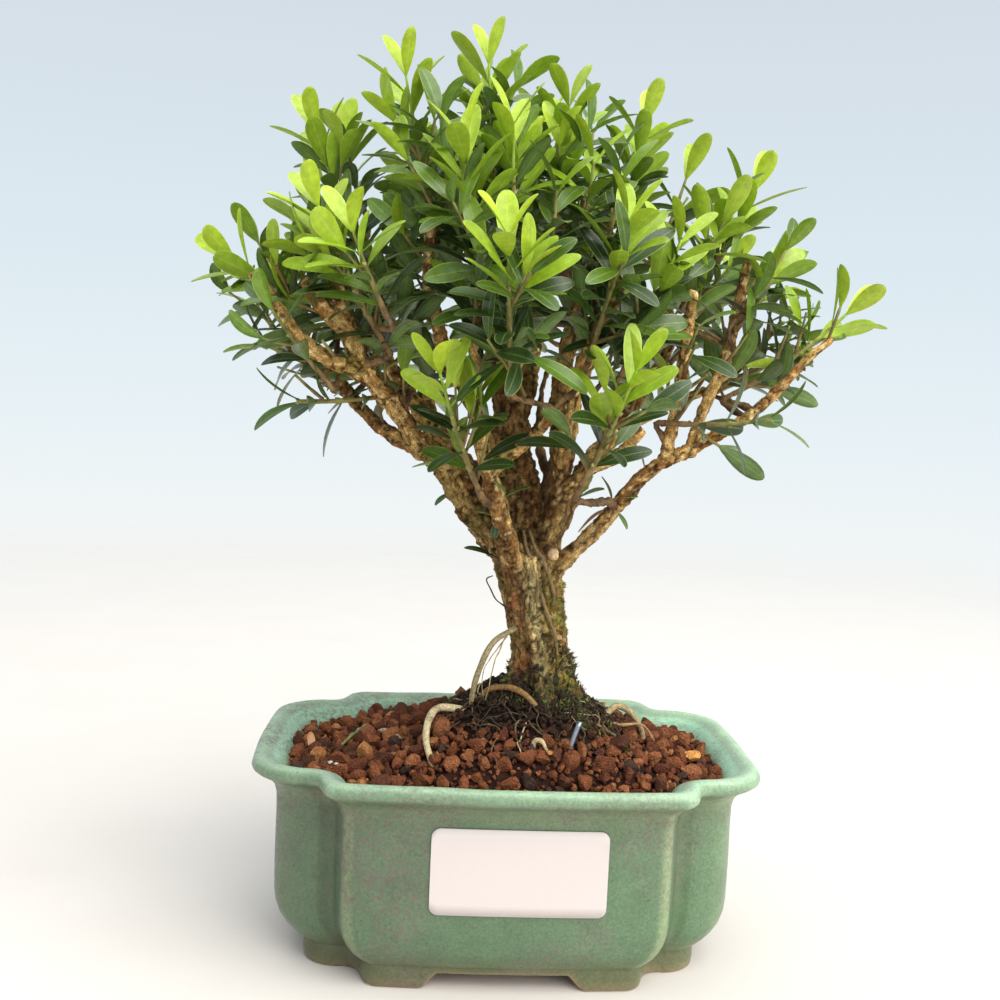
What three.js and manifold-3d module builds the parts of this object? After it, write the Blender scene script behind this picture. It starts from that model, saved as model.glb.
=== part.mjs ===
// Harland boxwood bonsai (Buxus harlandii) in a glazed, lobed rectangular pot.
// The tree is one piece of wood whose twigs carry opposite leaves: dark old foliage below,
// lime young shoots above. It stands in granular soil over two screened drain holes.
// Millimetres, +Z up, +X to the viewer's right, -Y towards the viewer.
import * as THREE from "three";
import { mergeVertices } from "three/addons/utils/BufferGeometryUtils.js";
import Module from "manifold-3d";

const wasm = await Module();
wasm.setup();

// Driving dimensions

const CLEAR = 0.3; // gap between touching pieces
const HOLE_CLEAR = 0.45; // gap round a root or wire in the soil

// The pot's plan is a long front panel with a lobe at each end, set back by a notch.
const POT = {
  height: 62,
  footHeight: 6,
  floorTop: 11,
  wall: 5,
  panelHalf: 46,
  panelDepth: 45,
  lobeHalf: 67,
  lobeDepth: 33,
  notchSlant: 4,
  panelRound: 5,
  notchRound: 5,
  lobeRound: 11,
  leastRound: 4,
  panelBow: 1.5,
  lobeBow: 2,
};
// The share of a step outwards that the plan's notch and corners make with its sides.
const FOLLOW = { panel: 0.75, shoulder: 0.9, round: 0.5 };
// The pot's sections: [height, how far out of the body's plan along X, and along Y].
const OUTSIDE = [
  [POT.footHeight, -9.5, -4],
  [9, -5.2, -1.6],
  [14, -1.6, -0.2],
  [21, 0, 0],
  [52, 0, 0],
  [58.5, 6.2, 6.6],
  [61, 6.8, 7.2],
  [POT.height, 4.8, 5.2],
  [60.6, 0.4, 0.6],
];
const CAVITY = [
  [53, -POT.wall, -POT.wall],
  [15, -POT.wall - 1, -POT.wall - 1],
  [POT.floorTop, -POT.wall - 5, -POT.wall - 4],
];
const FOOT = { wall: 5.5, outX: -9.2, outY: -3.6 };
const FOOT_SLOT = { frontHalf: 21, sideHalf: 13, height: 4.6, round: 2.6 };
const DRAIN = { radius: 6.5, offset: 28, sides: 12 };
const SCREEN = { half: 10.5, thick: 1.2, bar: 1.8, slots: 2 };
const LABEL = { width: 50, height: 25, thick: 0.6, round: 2.5, middle: 36.5, offset: 3 };

const SOIL = { edge: 55, ridge: 6, ridgeWidth: 50 };
const MOUND = { height: 21, middle: 8, halfLength: 31, halfDepth: 27 };
const GRAIN = { size: 6, relief: 1.8, jitter: 2.4 };

const TRUNK_X = 10;
const TRUNK = {
  points: [[TRUNK_X, 0, 78], [10, 0, 88], [9.2, 0, 95], [7.2, 0, 102], [6, 0, 112], [4.5, 0, 124]],
  from: 9.2,
  to: 9.7,
  sides: 14,
};
const ROOT_BALL = { sides: 12, profile: [[15, 49], [12.5, 70], [9.4, 84]] }; // [radius, height]
const RIDGES = { deep: 0.14, side: 0.16, swell: 0.1 }; // shares of the trunk's radius

const TWIG = { sides: 3, steps: 2, thick: 1.8, thin: 1, straight: 3, sweep: 0.4, share: 0.85 };
const JOIN = { rise: 8, climb: 1.2 }; // a twig starts this far below its end, or at a cost
const CROWN_HUB = new THREE.Vector3(2, 0, 125); // shoots point away from here
const SHOOT = { lift: 0.35, curve: 0.004, oldLength: 30, youngLength: 14 };
const STEM = { base: 1, joint: 0.8, tip: 0.5, sides: 3 };
const SPRIG = {
  at: -24,
  spread: 50,
  length: 13,
  clear: 2.5,
  reach: [0.5, 0.8, 1.1],
  first: -50,
  vary: 40,
  turns: [0, 60, -60, 120, -120, 180],
};
// A side branch leaves its parent stem here, and has a leafy stretch of its own from its foot.
const BRANCH = { at: -26, foot: -16, overlap: 1.5, tip: 8.5 };

// A blade, blunt at its tip: its edge is stations as [share of length, share of half width].
const BLADE = { edge: [[0.55, 1], [0.98, 0.5]], middle: 0.55, thick: 0.9 };
const LEAVES = {
  old: { angle: 58, length: 15, width: 5, droop: 0.12 },
  young: { angle: 42, length: 15.5, width: 5.6, droop: 0.05 },
  closing: { angle: 26, length: 13 },
};
const VARIETY = { turn: 36, angle: 18, length: 3, width: 1.2 };

const COLOURS = {
  glaze: { color: 0x5f9a78, roughness: 0.3 },
  soil: { color: 0x6b3a26, roughness: 0.95 },
  bark: { color: 0x80654a, roughness: 0.9 },
  old: { color: 0x2f5a2c, roughness: 0.4 },
  young: { color: 0x9ecb2e, roughness: 0.4 },
  paper: { color: 0xf4efec, roughness: 0.6 },
  plastic: { color: 0x22302a, roughness: 0.6 },
  wire: { color: 0x3a3f45, roughness: 0.35, metalness: 0.8 },
};

// Limbs as hand-placed centre lines: [x, y, z] from the fork outwards, and the two end radii.
const LIMBS = {
  core: {
    points: [
      [5, 2, 112], [1, 3, 143], [-2, 4, 159], [-4, 5, 174], [-5, 6, 190], [-5, 6, 208], [-7, 4, 226],
      [-11, 0, 240],
    ],
    from: 7.6, to: 1.5, sides: 8,
  },
  left: {
    points: [[3, -1, 112], [-4, -5, 124], [-12, -8, 133], [-24, -12, 150], [-30, -13, 155]],
    from: 5.6, to: 3.4,
  },
  leftUp: {
    points: [[-28, -13, 151], [-38, -15, 165], [-47, -17, 175], [-53, -19, 189], [-59, -24, 210]],
    from: 3.2, to: 1.4,
  },
  leftStub: { points: [[-53, -19, 187], [-58, -22, 191], [-64, -26, 199]], from: 2.2, to: 1.6 },
  leftLow: {
    points: [[-28, -13, 152], [-37, -10, 155], [-50, -4, 165], [-56, -2, 172], [-63, 0, 176]],
    from: 2.5, to: 1.3,
  },
  leftOut: {
    points: [[-46, -17, 173], [-53, -20, 176], [-63, -22, 181], [-73, -20, 193], [-80, -16, 201]],
    from: 2.3, to: 1.2,
  },
  front: {
    points: [
      [3, -5, 112], [-2, -11, 124], [-7, -16, 139], [-12, -22, 155], [-14, -28, 170],
      [-16, -32, 186],
    ],
    from: 4.6, to: 1.3,
  },
  frontRight: {
    points: [[-9, -18, 146], [-3, -25, 153], [3, -32, 159], [7, -42, 166]],
    from: 1.9, to: 1.2,
  },
  innerLeft: {
    points: [[-3, -2, 146], [-17, -10, 170], [-23, -14, 180], [-29, -25, 202], [-29, -36, 220]],
    from: 2.8, to: 1.3,
  },
  right: {
    points: [
      [8, -3, 112], [15, -5, 119], [25, -7, 130], [39, -11, 148], [52, -12, 156], [71, -10, 168],
      [86, -8, 184], [94, -7, 191],
    ],
    from: 3.6, to: 1.2,
  },
  rightRise: {
    points: [[44, -11, 152], [45, -18, 168], [45, -24, 178], [45, -34, 201]],
    from: 1.9, to: 1.2,
  },
  rightFar: { points: [[51, -12, 154], [55, -10, 168], [61, -8, 182], [67, -5, 214]], from: 1.8, to: 1.2 },
  rightUp: {
    points: [[6, -2, 116], [13, -5, 137], [14, -9, 158], [18, -16, 181], [26, -36, 205]],
    from: 4.4, to: 1.4,
  },
  rightTop: {
    points: [[13, -6, 150], [13, 3, 175], [16, 3, 193], [22, -1, 212], [23, -5, 226]],
    from: 3.2, to: 1.3,
  },
  rightLow: { points: [[12, -6, 138], [20, -13, 148], [28, -18, 153], [33, -30, 161]], from: 2.6, to: 1.3 },
  backLeft: {
    points: [[2, 3, 112], [-11, 17, 139], [-27, 27, 158], [-42, 36, 178], [-51, 38, 196]],
    from: 5, to: 1.3,
  },
  backMiddle: { points: [[-24, 25, 154], [-29, 41, 168], [-26, 54, 186]], from: 2.4, to: 1.2 },
  backRight: {
    points: [[7, 3, 112], [22, 16, 144], [38, 28, 165], [50, 34, 184], [56, 36, 198]],
    from: 4.6, to: 1.3,
  },
  backOut: { points: [[35, 25, 161], [50, 25, 168], [63, 24, 174]], from: 2.2, to: 1.2 },
  backRise: { points: [[-1, 4, 156], [4, 18, 175], [6, 34, 193], [3, 46, 208]], from: 3, to: 1.3 },
  topBack: { points: [[-5, 6, 192], [-11, 16, 211], [-15, 24, 230]], from: 2.4, to: 1.2 },
};

// Roots that show above the soil and run down into it.
const ROOTS = {
  buttressLeft: { points: [[7, -2, 86], [1, -6, 79], [-6, -10, 70]], from: 3.6, to: 2.2 },
  buttressRight: { points: [[13, 0, 86], [20, -3, 78], [26, -6, 69]], from: 3.6, to: 2.2 },
  buttressFront: { points: [[10, -4, 85], [11, -11, 77], [13, -19, 67]], from: 3.2, to: 2 },
  buttressBack: { points: [[9, 4, 86], [6, 12, 78], [3, 20, 68]], from: 3.6, to: 2.2 },
  aerial: {
    points: [[2, -5, 98], [-5, -8, 94], [-9, -9, 86], [-11, -8, 77], [-11, -5, 66]],
    from: 0.9, to: 0.9,
  },
  archFront: {
    points: [
      [2, -2, 68], [-8, -5, 71], [-7, -6, 77.5], [-1, -10.5, 80.5], [3.5, -13.5, 80], [7.5, -15.5, 77],
      [10.3, -14, 72], [10, -9, 66],
    ],
    from: 1.4, to: 1,
  },
  loopFront: {
    points: [
      [1, -4, 67], [-9, -6, 71], [-17, -7, 72.5], [-21.5, -9.5, 73], [-24, -15.5, 71], [-24.6, -24, 67],
      [-22.5, -30.5, 61.5], [-21.5, -33, 56],
    ],
    from: 1.4, to: 0.8,
  },
  loopRight: {
    points: [
      [18, -2, 65], [27, -4, 68], [31.4, -4, 71.5], [35, -2, 73.5], [39.5, -2, 71.5], [43, -4, 66],
      [44, -5, 59],
    ],
    from: 1.2, to: 0.8,
  },
};
const TIE_WIRE = { points: [[15.8, -28.4, 57], [17.9, -28.2, 68], [20.3, -27, 75]], from: 0.75, to: 0.75 };

// Twig ends: where old foliage gives way to the young shoot. The fourth value says
// whether a lime shoot has grown there, and the fifth replaces the usual lift.
const ENDS = [
  [-13, -7, 252, 1], [-35, -17, 245, 1], [-19, -44, 222, 1], [-7, -36, 229, 1], [9, -12, 240, 1],
  [32, 2, 240, 1], [21, -46, 204, 1], [35, -38, 200, 1], [62, -5, 221, 1], [82, 8, 196, 0],
  [88, -5, 189, 1, 0.1], [23, -52, 166, 1, 0.5], [-8, -59, 197, 1, 0.5], [-21, -42, 163, 1, 0.45],
  [-59, -7, 231, 1], [-54, -33, 206, 1], [-75, -9, 198, 1, -0.25], [-77, -2, 181, 0, -0.3],
  [70, -30, 166, 0, -0.3], [-66, -14, 165, 0, -0.5], [-62, 36, 206, 1], [-84, 20, 194, 0],
  [-40, 66, 200, 0], [-32, 34, 232, 1], [-2, 62, 214, 0], [6, 32, 244, 1], [36, 46, 226, 0],
  [40, 66, 196, 0], [66, 42, 204, 1], [88, 30, 186, 0, 0],
];

// Side branches that fill the crown between those ends: the number of the parent's node, then
// the place on the branch that its leaves are set out from.
const BRANCHES = [
  [5, 15, -27, 227], [16, -46, -47, 203], [11, 72, -14, 209], [15, -56, 10, 239], [17, -68, -25, 184],
  [6, 48, 14, 232], [6, 20, 20, 246], [26, -12, 16, 250], [9, 52, -22, 214], [4, 4, -44, 216],
  [21, -62, 14, 216], [27, 18, 50, 226], [24, -22, 52, 224], [10, 78, 22, 204], [22, -78, 8, 206],
  [28, 56, 56, 190], [23, -56, 54, 192], [25, 22, 64, 204], [2, -26, -30, 236], [7, 22, -32, 222],
];

// Leaf pairs along a stem, as distances from its joint with the young shoot. A pair at or
// past OLD_TIP that is its stem's last closes the tip.
const OLD_PAIRS = [-21, -13, -5.5];
const OLD_TIP = -1;
const SPRIG_PAIRS = [-1];
const YOUNG_PAIRS = [3, 8, 13];
const BRANCH_PAIRS = [-9.5, -1.5, 7.5];

// Ways to bend a leaf clear of its neighbours: [turn about the stem, change of spread], degrees.
const BENDS = [[0, 0], [20, 0], [-20, 0], [0, -16], [0, 16], [36, -8], [-36, -8]];
const LEAF_GAP = 1.9;
const WOOD_GAP = 1.1;
const SAMPLES = { from: 0.22, step: 0.085, across: [-0.95, -0.5, 0, 0.5, 0.95] };

const UP = new THREE.Vector3(0, 0, 1);
const vector = (p) => new THREE.Vector3(...p);
const radians = THREE.MathUtils.degToRad;
const lerp = THREE.MathUtils.lerp;

// A repeatable draw from 0 to 1 for any list of whole numbers.
function draw(...keys) {
  let h = 2166136261;
  for (const key of keys) {
    h = Math.imul(h ^ key, 16777619);
    h = Math.imul(h ^ (h >>> 15), 2246822519);
  }
  h ^= h >>> 13;
  return (h >>> 0) / 4294967296;
}

// Solids

function meshSolid(vertices, triangles) {
  return new wasm.Manifold(
    new wasm.Mesh({
      numProp: 3,
      vertProperties: new Float32Array(vertices.flatMap((v) => [v.x, v.y, v.z])),
      triVerts: new Uint32Array(triangles.flat()),
    }),
  );
}

function solidOf(geometry) {
  const bare = geometry.clone();
  bare.deleteAttribute("normal");
  bare.deleteAttribute("uv");
  const merged = mergeVertices(bare, 1e-4);
  return new wasm.Manifold(
    new wasm.Mesh({
      numProp: 3,
      vertProperties: merged.attributes.position.array,
      triVerts: new Uint32Array(merged.index.array),
    }),
  );
}

function geometryOf(solid) {
  const mesh = solid.getMesh();
  const geometry = new THREE.BufferGeometry();
  geometry.setAttribute("position", new THREE.BufferAttribute(mesh.vertProperties.slice(), 3));
  geometry.setIndex(new THREE.BufferAttribute(mesh.triVerts.slice(), 1));
  geometry.computeVertexNormals();
  return geometry;
}

const unionOf = (solids) => solids.reduce((sum, solid) => sum.add(solid));

// Rings of equal length, joined in order and closed by a fan at each end.
function loft(rings) {
  const count = rings[0].length;
  const vertices = rings.flat();
  const middle = (ring) => ring.reduce((sum, v) => sum.add(v), new THREE.Vector3()).divideScalar(count);
  vertices.push(middle(rings[0]), middle(rings.at(-1)));
  const [first, last] = [vertices.length - 2, vertices.length - 1];
  const triangles = [];
  for (let j = 0; j < count; j++) {
    const k = (j + 1) % count;
    for (let i = 0; i + 1 < rings.length; i++) {
      const [low, high] = [i * count, (i + 1) * count];
      triangles.push([low + j, low + k, high + k], [low + j, high + k, high + j]);
    }
    const top = (rings.length - 1) * count;
    triangles.push([first, k, j], [last, top + j, top + k]);
  }
  return meshSolid(vertices, triangles);
}

// A tapering round limb along a smooth curve; rough(step, side) scales its radius.
function limb({ points, from, to, sides = 5, steps = points.length }, grow = 0, rough = () => 1) {
  const curve = new THREE.CatmullRomCurve3(points.map(vector));
  const frames = curve.computeFrenetFrames(steps);
  const rings = [];
  for (let i = 0; i <= steps; i++) {
    const centre = curve.getPointAt(i / steps);
    const radius = lerp(from, to, i / steps) + grow;
    rings.push(
      Array.from({ length: sides }, (_, j) => {
        const angle = (2 * Math.PI * j) / sides;
        const reach = radius * rough(i, j);
        return centre
          .clone()
          .addScaledVector(frames.normals[i], reach * Math.cos(angle))
          .addScaledVector(frames.binormals[i], reach * Math.sin(angle));
      }),
    );
  }
  return loft(rings);
}

// Pot

// The arc that rounds the corner at b between a and c.
function roundedCorner(a, b, c, radius, steps) {
  const back = a.clone().sub(b).normalize();
  const on = c.clone().sub(b).normalize();
  const half = Math.acos(back.dot(on)) / 2;
  const centre = b.clone().addScaledVector(back.clone().add(on).normalize(), radius / Math.sin(half));
  const start = b.clone().addScaledVector(back, radius / Math.tan(half)).sub(centre);
  const end = b.clone().addScaledVector(on, radius / Math.tan(half)).sub(centre);
  const sweep = Math.atan2(start.cross(end), start.dot(end));
  return Array.from({ length: steps + 1 }, (_, i) =>
    start.clone().rotateAround(new THREE.Vector2(), (sweep * i) / steps).add(centre),
  );
}

// The pot's plan, moved out by dx along X and dy along Y, counter-clockwise from the front's middle.
function plan(dx, dy) {
  const panel = POT.panelHalf + FOLLOW.panel * dx;
  const lobe = POT.lobeHalf + dx;
  const depth = POT.panelDepth + dy;
  const shoulder = POT.lobeDepth + FOLLOW.shoulder * dy;
  const front = new THREE.Vector2(0, -depth);
  const side = new THREE.Vector2(lobe, 0);
  const corner = new THREE.Vector2(panel, -depth);
  const inner = new THREE.Vector2(panel + POT.notchSlant, -shoulder);
  const outer = new THREE.Vector2(lobe, -shoulder);
  const lobeRound = Math.max(POT.leastRound, POT.lobeRound + FOLLOW.round * dx);
  const quarter = [
    front,
    new THREE.Vector2(panel / 2, -depth),
    ...roundedCorner(front, corner, inner, POT.panelRound, 1),
    ...roundedCorner(corner, inner, outer, POT.notchRound, 1),
    ...roundedCorner(inner, outer, side, lobeRound, 2),
    side,
  ];
  for (const p of quarter) {
    const panelShare = 1 - (p.x / panel) ** 2;
    const lobeShare = 1 - (p.y / shoulder) ** 2;
    if (p.y < -shoulder && panelShare > 0) p.y -= POT.panelBow * panelShare;
    if (p.x > 0.9 * lobe && lobeShare > 0) p.x += POT.lobeBow * lobeShare;
  }
  const flip = (points, x, y) => points.map((p) => new THREE.Vector2(x * p.x, y * p.y));
  const right = [...quarter, ...flip(quarter.slice(0, -1).reverse(), 1, -1)];
  return [...right, ...flip(right.slice(1, -1).reverse(), -1, 1)];
}

const planRing = ([z, dx, dy]) => plan(dx, dy).map((p) => new THREE.Vector3(p.x, p.y, z));

// One end's slot between the feet, all the way through the foot ring.
function footSlot(half, turn) {
  const span = 2 * POT.lobeHalf;
  const profile = new THREE.Shape()
    .moveTo(-half - FOOT_SLOT.round, -1)
    .lineTo(half + FOOT_SLOT.round, -1)
    .lineTo(half, FOOT_SLOT.height - FOOT_SLOT.round)
    .lineTo(half - FOOT_SLOT.round, FOOT_SLOT.height)
    .lineTo(-half + FOOT_SLOT.round, FOOT_SLOT.height)
    .lineTo(-half, FOOT_SLOT.height - FOOT_SLOT.round);
  const geometry = new THREE.ExtrudeGeometry(profile, { depth: span, bevelEnabled: false });
  geometry.translate(0, 0, -span / 2).rotateX(Math.PI / 2).rotateZ(turn);
  return solidOf(geometry);
}

// A ring of foot under the body, cut into four corner feet.
function makeFeet() {
  const band = (inset, low, high) =>
    loft([
      planRing([low, FOOT.outX - inset, FOOT.outY - inset]),
      planRing([high, FOOT.outX - inset - 1, FOOT.outY - inset - 1]),
    ]);
  const ring = band(0, 0, POT.footHeight + 1.5).subtract(band(FOOT.wall, -1, POT.footHeight));
  return ring
    .subtract(footSlot(FOOT_SLOT.frontHalf, 0))
    .subtract(footSlot(FOOT_SLOT.sideHalf, Math.PI / 2));
}

function drainHole(x) {
  const height = 2 * POT.floorTop;
  const hole = new THREE.CylinderGeometry(DRAIN.radius, DRAIN.radius, height, DRAIN.sides);
  return solidOf(hole.rotateX(Math.PI / 2).translate(x, 0, POT.footHeight));
}

function makePot() {
  const body = loft([...OUTSIDE, ...CAVITY].map(planRing));
  return body.add(makeFeet()).subtract(drainHole(-DRAIN.offset)).subtract(drainHole(DRAIN.offset));
}

// A square of plastic mesh that keeps the soil off a drain hole.
function makeScreen() {
  const length = 2 * SCREEN.half;
  const bars = [];
  for (let i = 0; i <= SCREEN.slots; i++) {
    const across = (length - SCREEN.bar) * (i / SCREEN.slots - 0.5);
    const bar = new THREE.BoxGeometry(SCREEN.bar, length, SCREEN.thick).translate(across, 0, 0);
    bars.push(solidOf(bar), solidOf(bar.clone().rotateZ(Math.PI / 2)));
  }
  return unionOf(bars);
}

// The blank paper label for the front panel.
function makeLabel() {
  const [w, h, r] = [LABEL.width / 2, LABEL.height / 2, LABEL.round];
  const outline = new THREE.Shape()
    .moveTo(-w + r, -h)
    .lineTo(w - r, -h)
    .absarc(w - r, -h + r, r, -Math.PI / 2, 0)
    .lineTo(w, h - r)
    .absarc(w - r, h - r, r, 0, Math.PI / 2)
    .lineTo(-w + r, h)
    .absarc(-w + r, h - r, r, Math.PI / 2, Math.PI)
    .lineTo(-w, -h + r)
    .absarc(-w + r, -h + r, r, Math.PI, 1.5 * Math.PI);
  const sheet = { depth: LABEL.thick, bevelEnabled: false, curveSegments: 3 };
  return solidOf(new THREE.ExtrudeGeometry(outline, sheet).rotateX(Math.PI / 2));
}

// Soil

function soilHeight(x, y) {
  const ridge = SOIL.ridge * Math.exp(-((x / SOIL.ridgeWidth) ** 2));
  const out = ((x - MOUND.middle) / MOUND.halfLength) ** 2 + (y / MOUND.halfDepth) ** 2;
  return SOIL.edge + ridge + MOUND.height * Math.exp(-out);
}

// A block whose top is gravel-sized facets over the mounded surface.
function makeBed() {
  const columns = Math.ceil((2 * (POT.lobeHalf + POT.lobeBow)) / GRAIN.size);
  const rows = Math.ceil((2 * (POT.panelDepth + POT.panelBow)) / GRAIN.size);
  const bottom = POT.floorTop - 2;
  const corner = (i, j, z) => {
    const x = (i - columns / 2) * GRAIN.size + GRAIN.jitter * (draw(i, j, 1) - 0.5);
    const y = (j - rows / 2) * GRAIN.size + GRAIN.jitter * (draw(i, j, 2) - 0.5);
    return new THREE.Vector3(x, y, z ?? soilHeight(x, y) + GRAIN.relief * (2 * draw(i, j, 3) - 1));
  };
  const vertices = [];
  for (let j = 0; j <= rows; j++) for (let i = 0; i <= columns; i++) vertices.push(corner(i, j));
  const at = (i, j) => j * (columns + 1) + i;
  const triangles = [];
  for (let j = 0; j < rows; j++)
    for (let i = 0; i < columns; i++) {
      const [a, b, c, d] = [at(i, j), at(i + 1, j), at(i + 1, j + 1), at(i, j + 1)];
      if (draw(i, j, 4) < 0.5) triangles.push([a, b, c], [a, c, d]);
      else triangles.push([a, b, d], [b, c, d]);
    }
  const rim = [];
  for (let i = 0; i < columns; i++) rim.push([i, 0]);
  for (let j = 0; j < rows; j++) rim.push([columns, j]);
  for (let i = columns; i > 0; i--) rim.push([i, rows]);
  for (let j = rows; j > 0; j--) rim.push([0, j]);
  const low = vertices.length;
  for (const [i, j] of rim) vertices.push(corner(i, j, bottom));
  vertices.push(new THREE.Vector3(0, 0, bottom));
  rim.forEach((cell, n) => {
    const m = (n + 1) % rim.length;
    const [a, b] = [at(...cell), at(...rim[m])];
    triangles.push([a, low + n, low + m], [a, low + m, b], [low + rim.length, low + m, low + n]);
  });
  return meshSolid(vertices, triangles);
}

// The bed cut to the pot's cavity, with room for the screens under it and holes for roots.
function makeSoil(holes) {
  const above = [2 * POT.height, -POT.wall, -POT.wall];
  const inside = [above, ...CAVITY].map(([z, dx, dy]) => planRing([z, dx - CLEAR, dy - CLEAR]));
  inside.at(-1).forEach((v) => v.setZ(POT.floorTop + CLEAR));
  const cavity = loft(inside.reverse());
  const screens = [-DRAIN.offset, DRAIN.offset].map((x) => {
    const wide = 2 * (SCREEN.half + CLEAR);
    const tall = 2 * (SCREEN.thick + 2 * CLEAR);
    return solidOf(new THREE.BoxGeometry(wide, wide, tall).translate(x, 0, POT.floorTop));
  });
  return [...screens, ...holes].reduce((soil, hole) => soil.subtract(hole), makeBed().intersect(cavity));
}

// Wood

// The cone of old wood and roots that widens down into the soil.
function rootBall(grow) {
  const [deepest, ...higher] = ROOT_BALL.profile;
  const profile = [
    [0, deepest[1] - grow],
    [deepest[0] + grow, deepest[1] - grow],
    ...higher.map(([radius, height]) => [radius + grow, height]),
    [0, higher.at(-1)[1]],
  ].map((p) => new THREE.Vector2(...p));
  const ball = new THREE.LatheGeometry(profile, ROOT_BALL.sides);
  return solidOf(ball.rotateX(Math.PI / 2).translate(TRUNK_X, 0, 0));
}

// Corky ridges that run up the trunk, and a slow swell along it.
function barkRidges(step, side) {
  const ridge = RIDGES.deep * (side % 2) + RIDGES.side * (draw(side, 11) - 0.5);
  return 1 + ridge + RIDGES.swell * (draw(step, side, 12) - 0.5);
}

// A twig that leaves its limb along it and ends straight at the given point.
function twig(start, startTangent, end, endTangent, from) {
  const reach = TWIG.sweep * start.distanceTo(end);
  const straight = end.clone().addScaledVector(endTangent, -TWIG.straight);
  const curve = new THREE.CubicBezierCurve3(
    start,
    start.clone().addScaledVector(startTangent, reach),
    straight.clone().addScaledVector(endTangent, -reach),
    straight,
  );
  const points = [...curve.getPoints(TWIG.steps), end].map((p) => p.toArray());
  return { points, from, to: TWIG.thin, sides: TWIG.sides, steps: TWIG.steps + 1 };
}

// Every limb as short straight pieces, for finding where a twig joins and what a leaf must clear.
function piecesOf({ points, from, to }, count) {
  const curve = new THREE.CatmullRomCurve3(points.map(vector));
  const line = curve.getSpacedPoints(count);
  return line.slice(1).map((end, i) => ({
    start: line[i],
    end,
    tangent: end.clone().sub(line[i]).normalize(),
    radius: lerp(from, to, (i + 0.5) / count),
  }));
}

const limbPieces = Object.values(LIMBS).flatMap((l) => piecesOf(l, 4 * l.points.length));

// Leafy stems

// A slightly arching stem through its joint: distance s along it is 0 at the joint.
function makeStem(key, joint, axis, sideways, kind) {
  const side = sideways.clone().addScaledVector(axis, -sideways.dot(axis)).normalize();
  return { key, joint, axis, side, front: axis.clone().cross(side), kind };
}

function stemPoint(stem, s) {
  return stem.joint.clone().addScaledVector(stem.axis, s).addScaledVector(UP, SHOOT.curve * s * s);
}

function stemTangent(stem, s) {
  return stem.axis.clone().addScaledVector(UP, 2 * SHOOT.curve * s).normalize();
}

// The direction that leaves a stem at s, turned about it and spread from it by degrees.
function directionFrom(stem, s, turn, spread) {
  const tangent = stemTangent(stem, s);
  const out = stem.side
    .clone()
    .multiplyScalar(Math.cos(radians(turn)))
    .addScaledVector(stem.front, Math.sin(radians(turn)));
  out.addScaledVector(tangent, -out.dot(tangent)).normalize();
  const [cos, sin] = [Math.cos(radians(spread)), Math.sin(radians(spread))];
  return {
    along: tangent.clone().multiplyScalar(cos).addScaledVector(out, sin),
    normal: tangent.clone().multiplyScalar(sin).addScaledVector(out, -cos),
  };
}

// A stem that points away from the crown's hub, lifted towards the light.
function outwardStem(key, joint, lift) {
  const away = joint.clone().sub(CROWN_HUB).normalize();
  const axis = away.clone().addScaledVector(UP, lift).normalize();
  return makeStem(key, joint, axis, UP.clone().cross(away), "old");
}

function twigEnd([x, y, z, young, lift = SHOOT.lift], index) {
  const old = outwardStem(index, new THREE.Vector3(x, y, z), lift);
  const branches = BRANCHES.flatMap(([parent, ...joint], n) =>
    parent === index + 1 ? [growBranch(old, new THREE.Vector3(...joint), 2 * ENDS.length + n)] : [],
  );
  return { index, old, branches, sprig: growSprig(old), young: young ? { ...old, kind: "young" } : null };
}

// A side branch: its own leafy stem, and the bare stretch that joins it to its parent.
function growBranch(old, joint, key) {
  const stem = outwardStem(key, joint, SHOOT.lift);
  const start = stemPoint(old, BRANCH.at);
  const foot = stemPoint(stem, BRANCH.foot);
  const leaving = stemTangent(old, BRANCH.at).add(foot.clone().sub(start).normalize()).normalize();
  return { stem, bare: twig(start, leaving, foot, stemTangent(stem, BRANCH.foot), STEM.base) };
}

// A short side stem, turned about its parent until it keeps clear of every limb.
function growSprig(old) {
  const start = stemPoint(old, SPRIG.at);
  const first = 180 * (old.key % 2) + SPRIG.first + SPRIG.vary * draw(old.key, 21);
  const choices = SPRIG.turns.map((turn) => directionFrom(old, SPRIG.at, first + turn, SPRIG.spread).along);
  const isFree = (along) =>
    limbPieces.every((piece) =>
      SPRIG.reach.every((share) => {
        const point = start.clone().addScaledVector(along, share * SPRIG.length);
        return distanceToPiece(point, piece) > piece.radius + SPRIG.clear;
      }),
    );
  const along = choices.find(isFree) ?? choices[0];
  const tip = start.clone().addScaledVector(along, SPRIG.length);
  return makeStem(old.key + ENDS.length, tip, along, old.side, "old");
}

// The limb piece that a twig starts from: close by, and lower than the twig's end.
function joinTwig({ old }) {
  const tangent = stemTangent(old, -SHOOT.oldLength);
  const foot = stemPoint(old, -SHOOT.oldLength).addScaledVector(tangent, -CLEAR);
  const climb = (piece) => Math.max(0, piece.end.z - foot.z + JOIN.rise);
  const cost = (piece) => foot.distanceTo(piece.end) + JOIN.climb * climb(piece);
  const host = limbPieces.reduce((best, piece) => (cost(piece) < cost(best) ? piece : best));
  const thick = Math.min(TWIG.thick, TWIG.share * host.radius);
  const start = host.tangent.clone().add(foot.clone().sub(host.end).normalize()).normalize();
  return twig(host.end, start, foot, tangent, thick);
}

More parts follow.
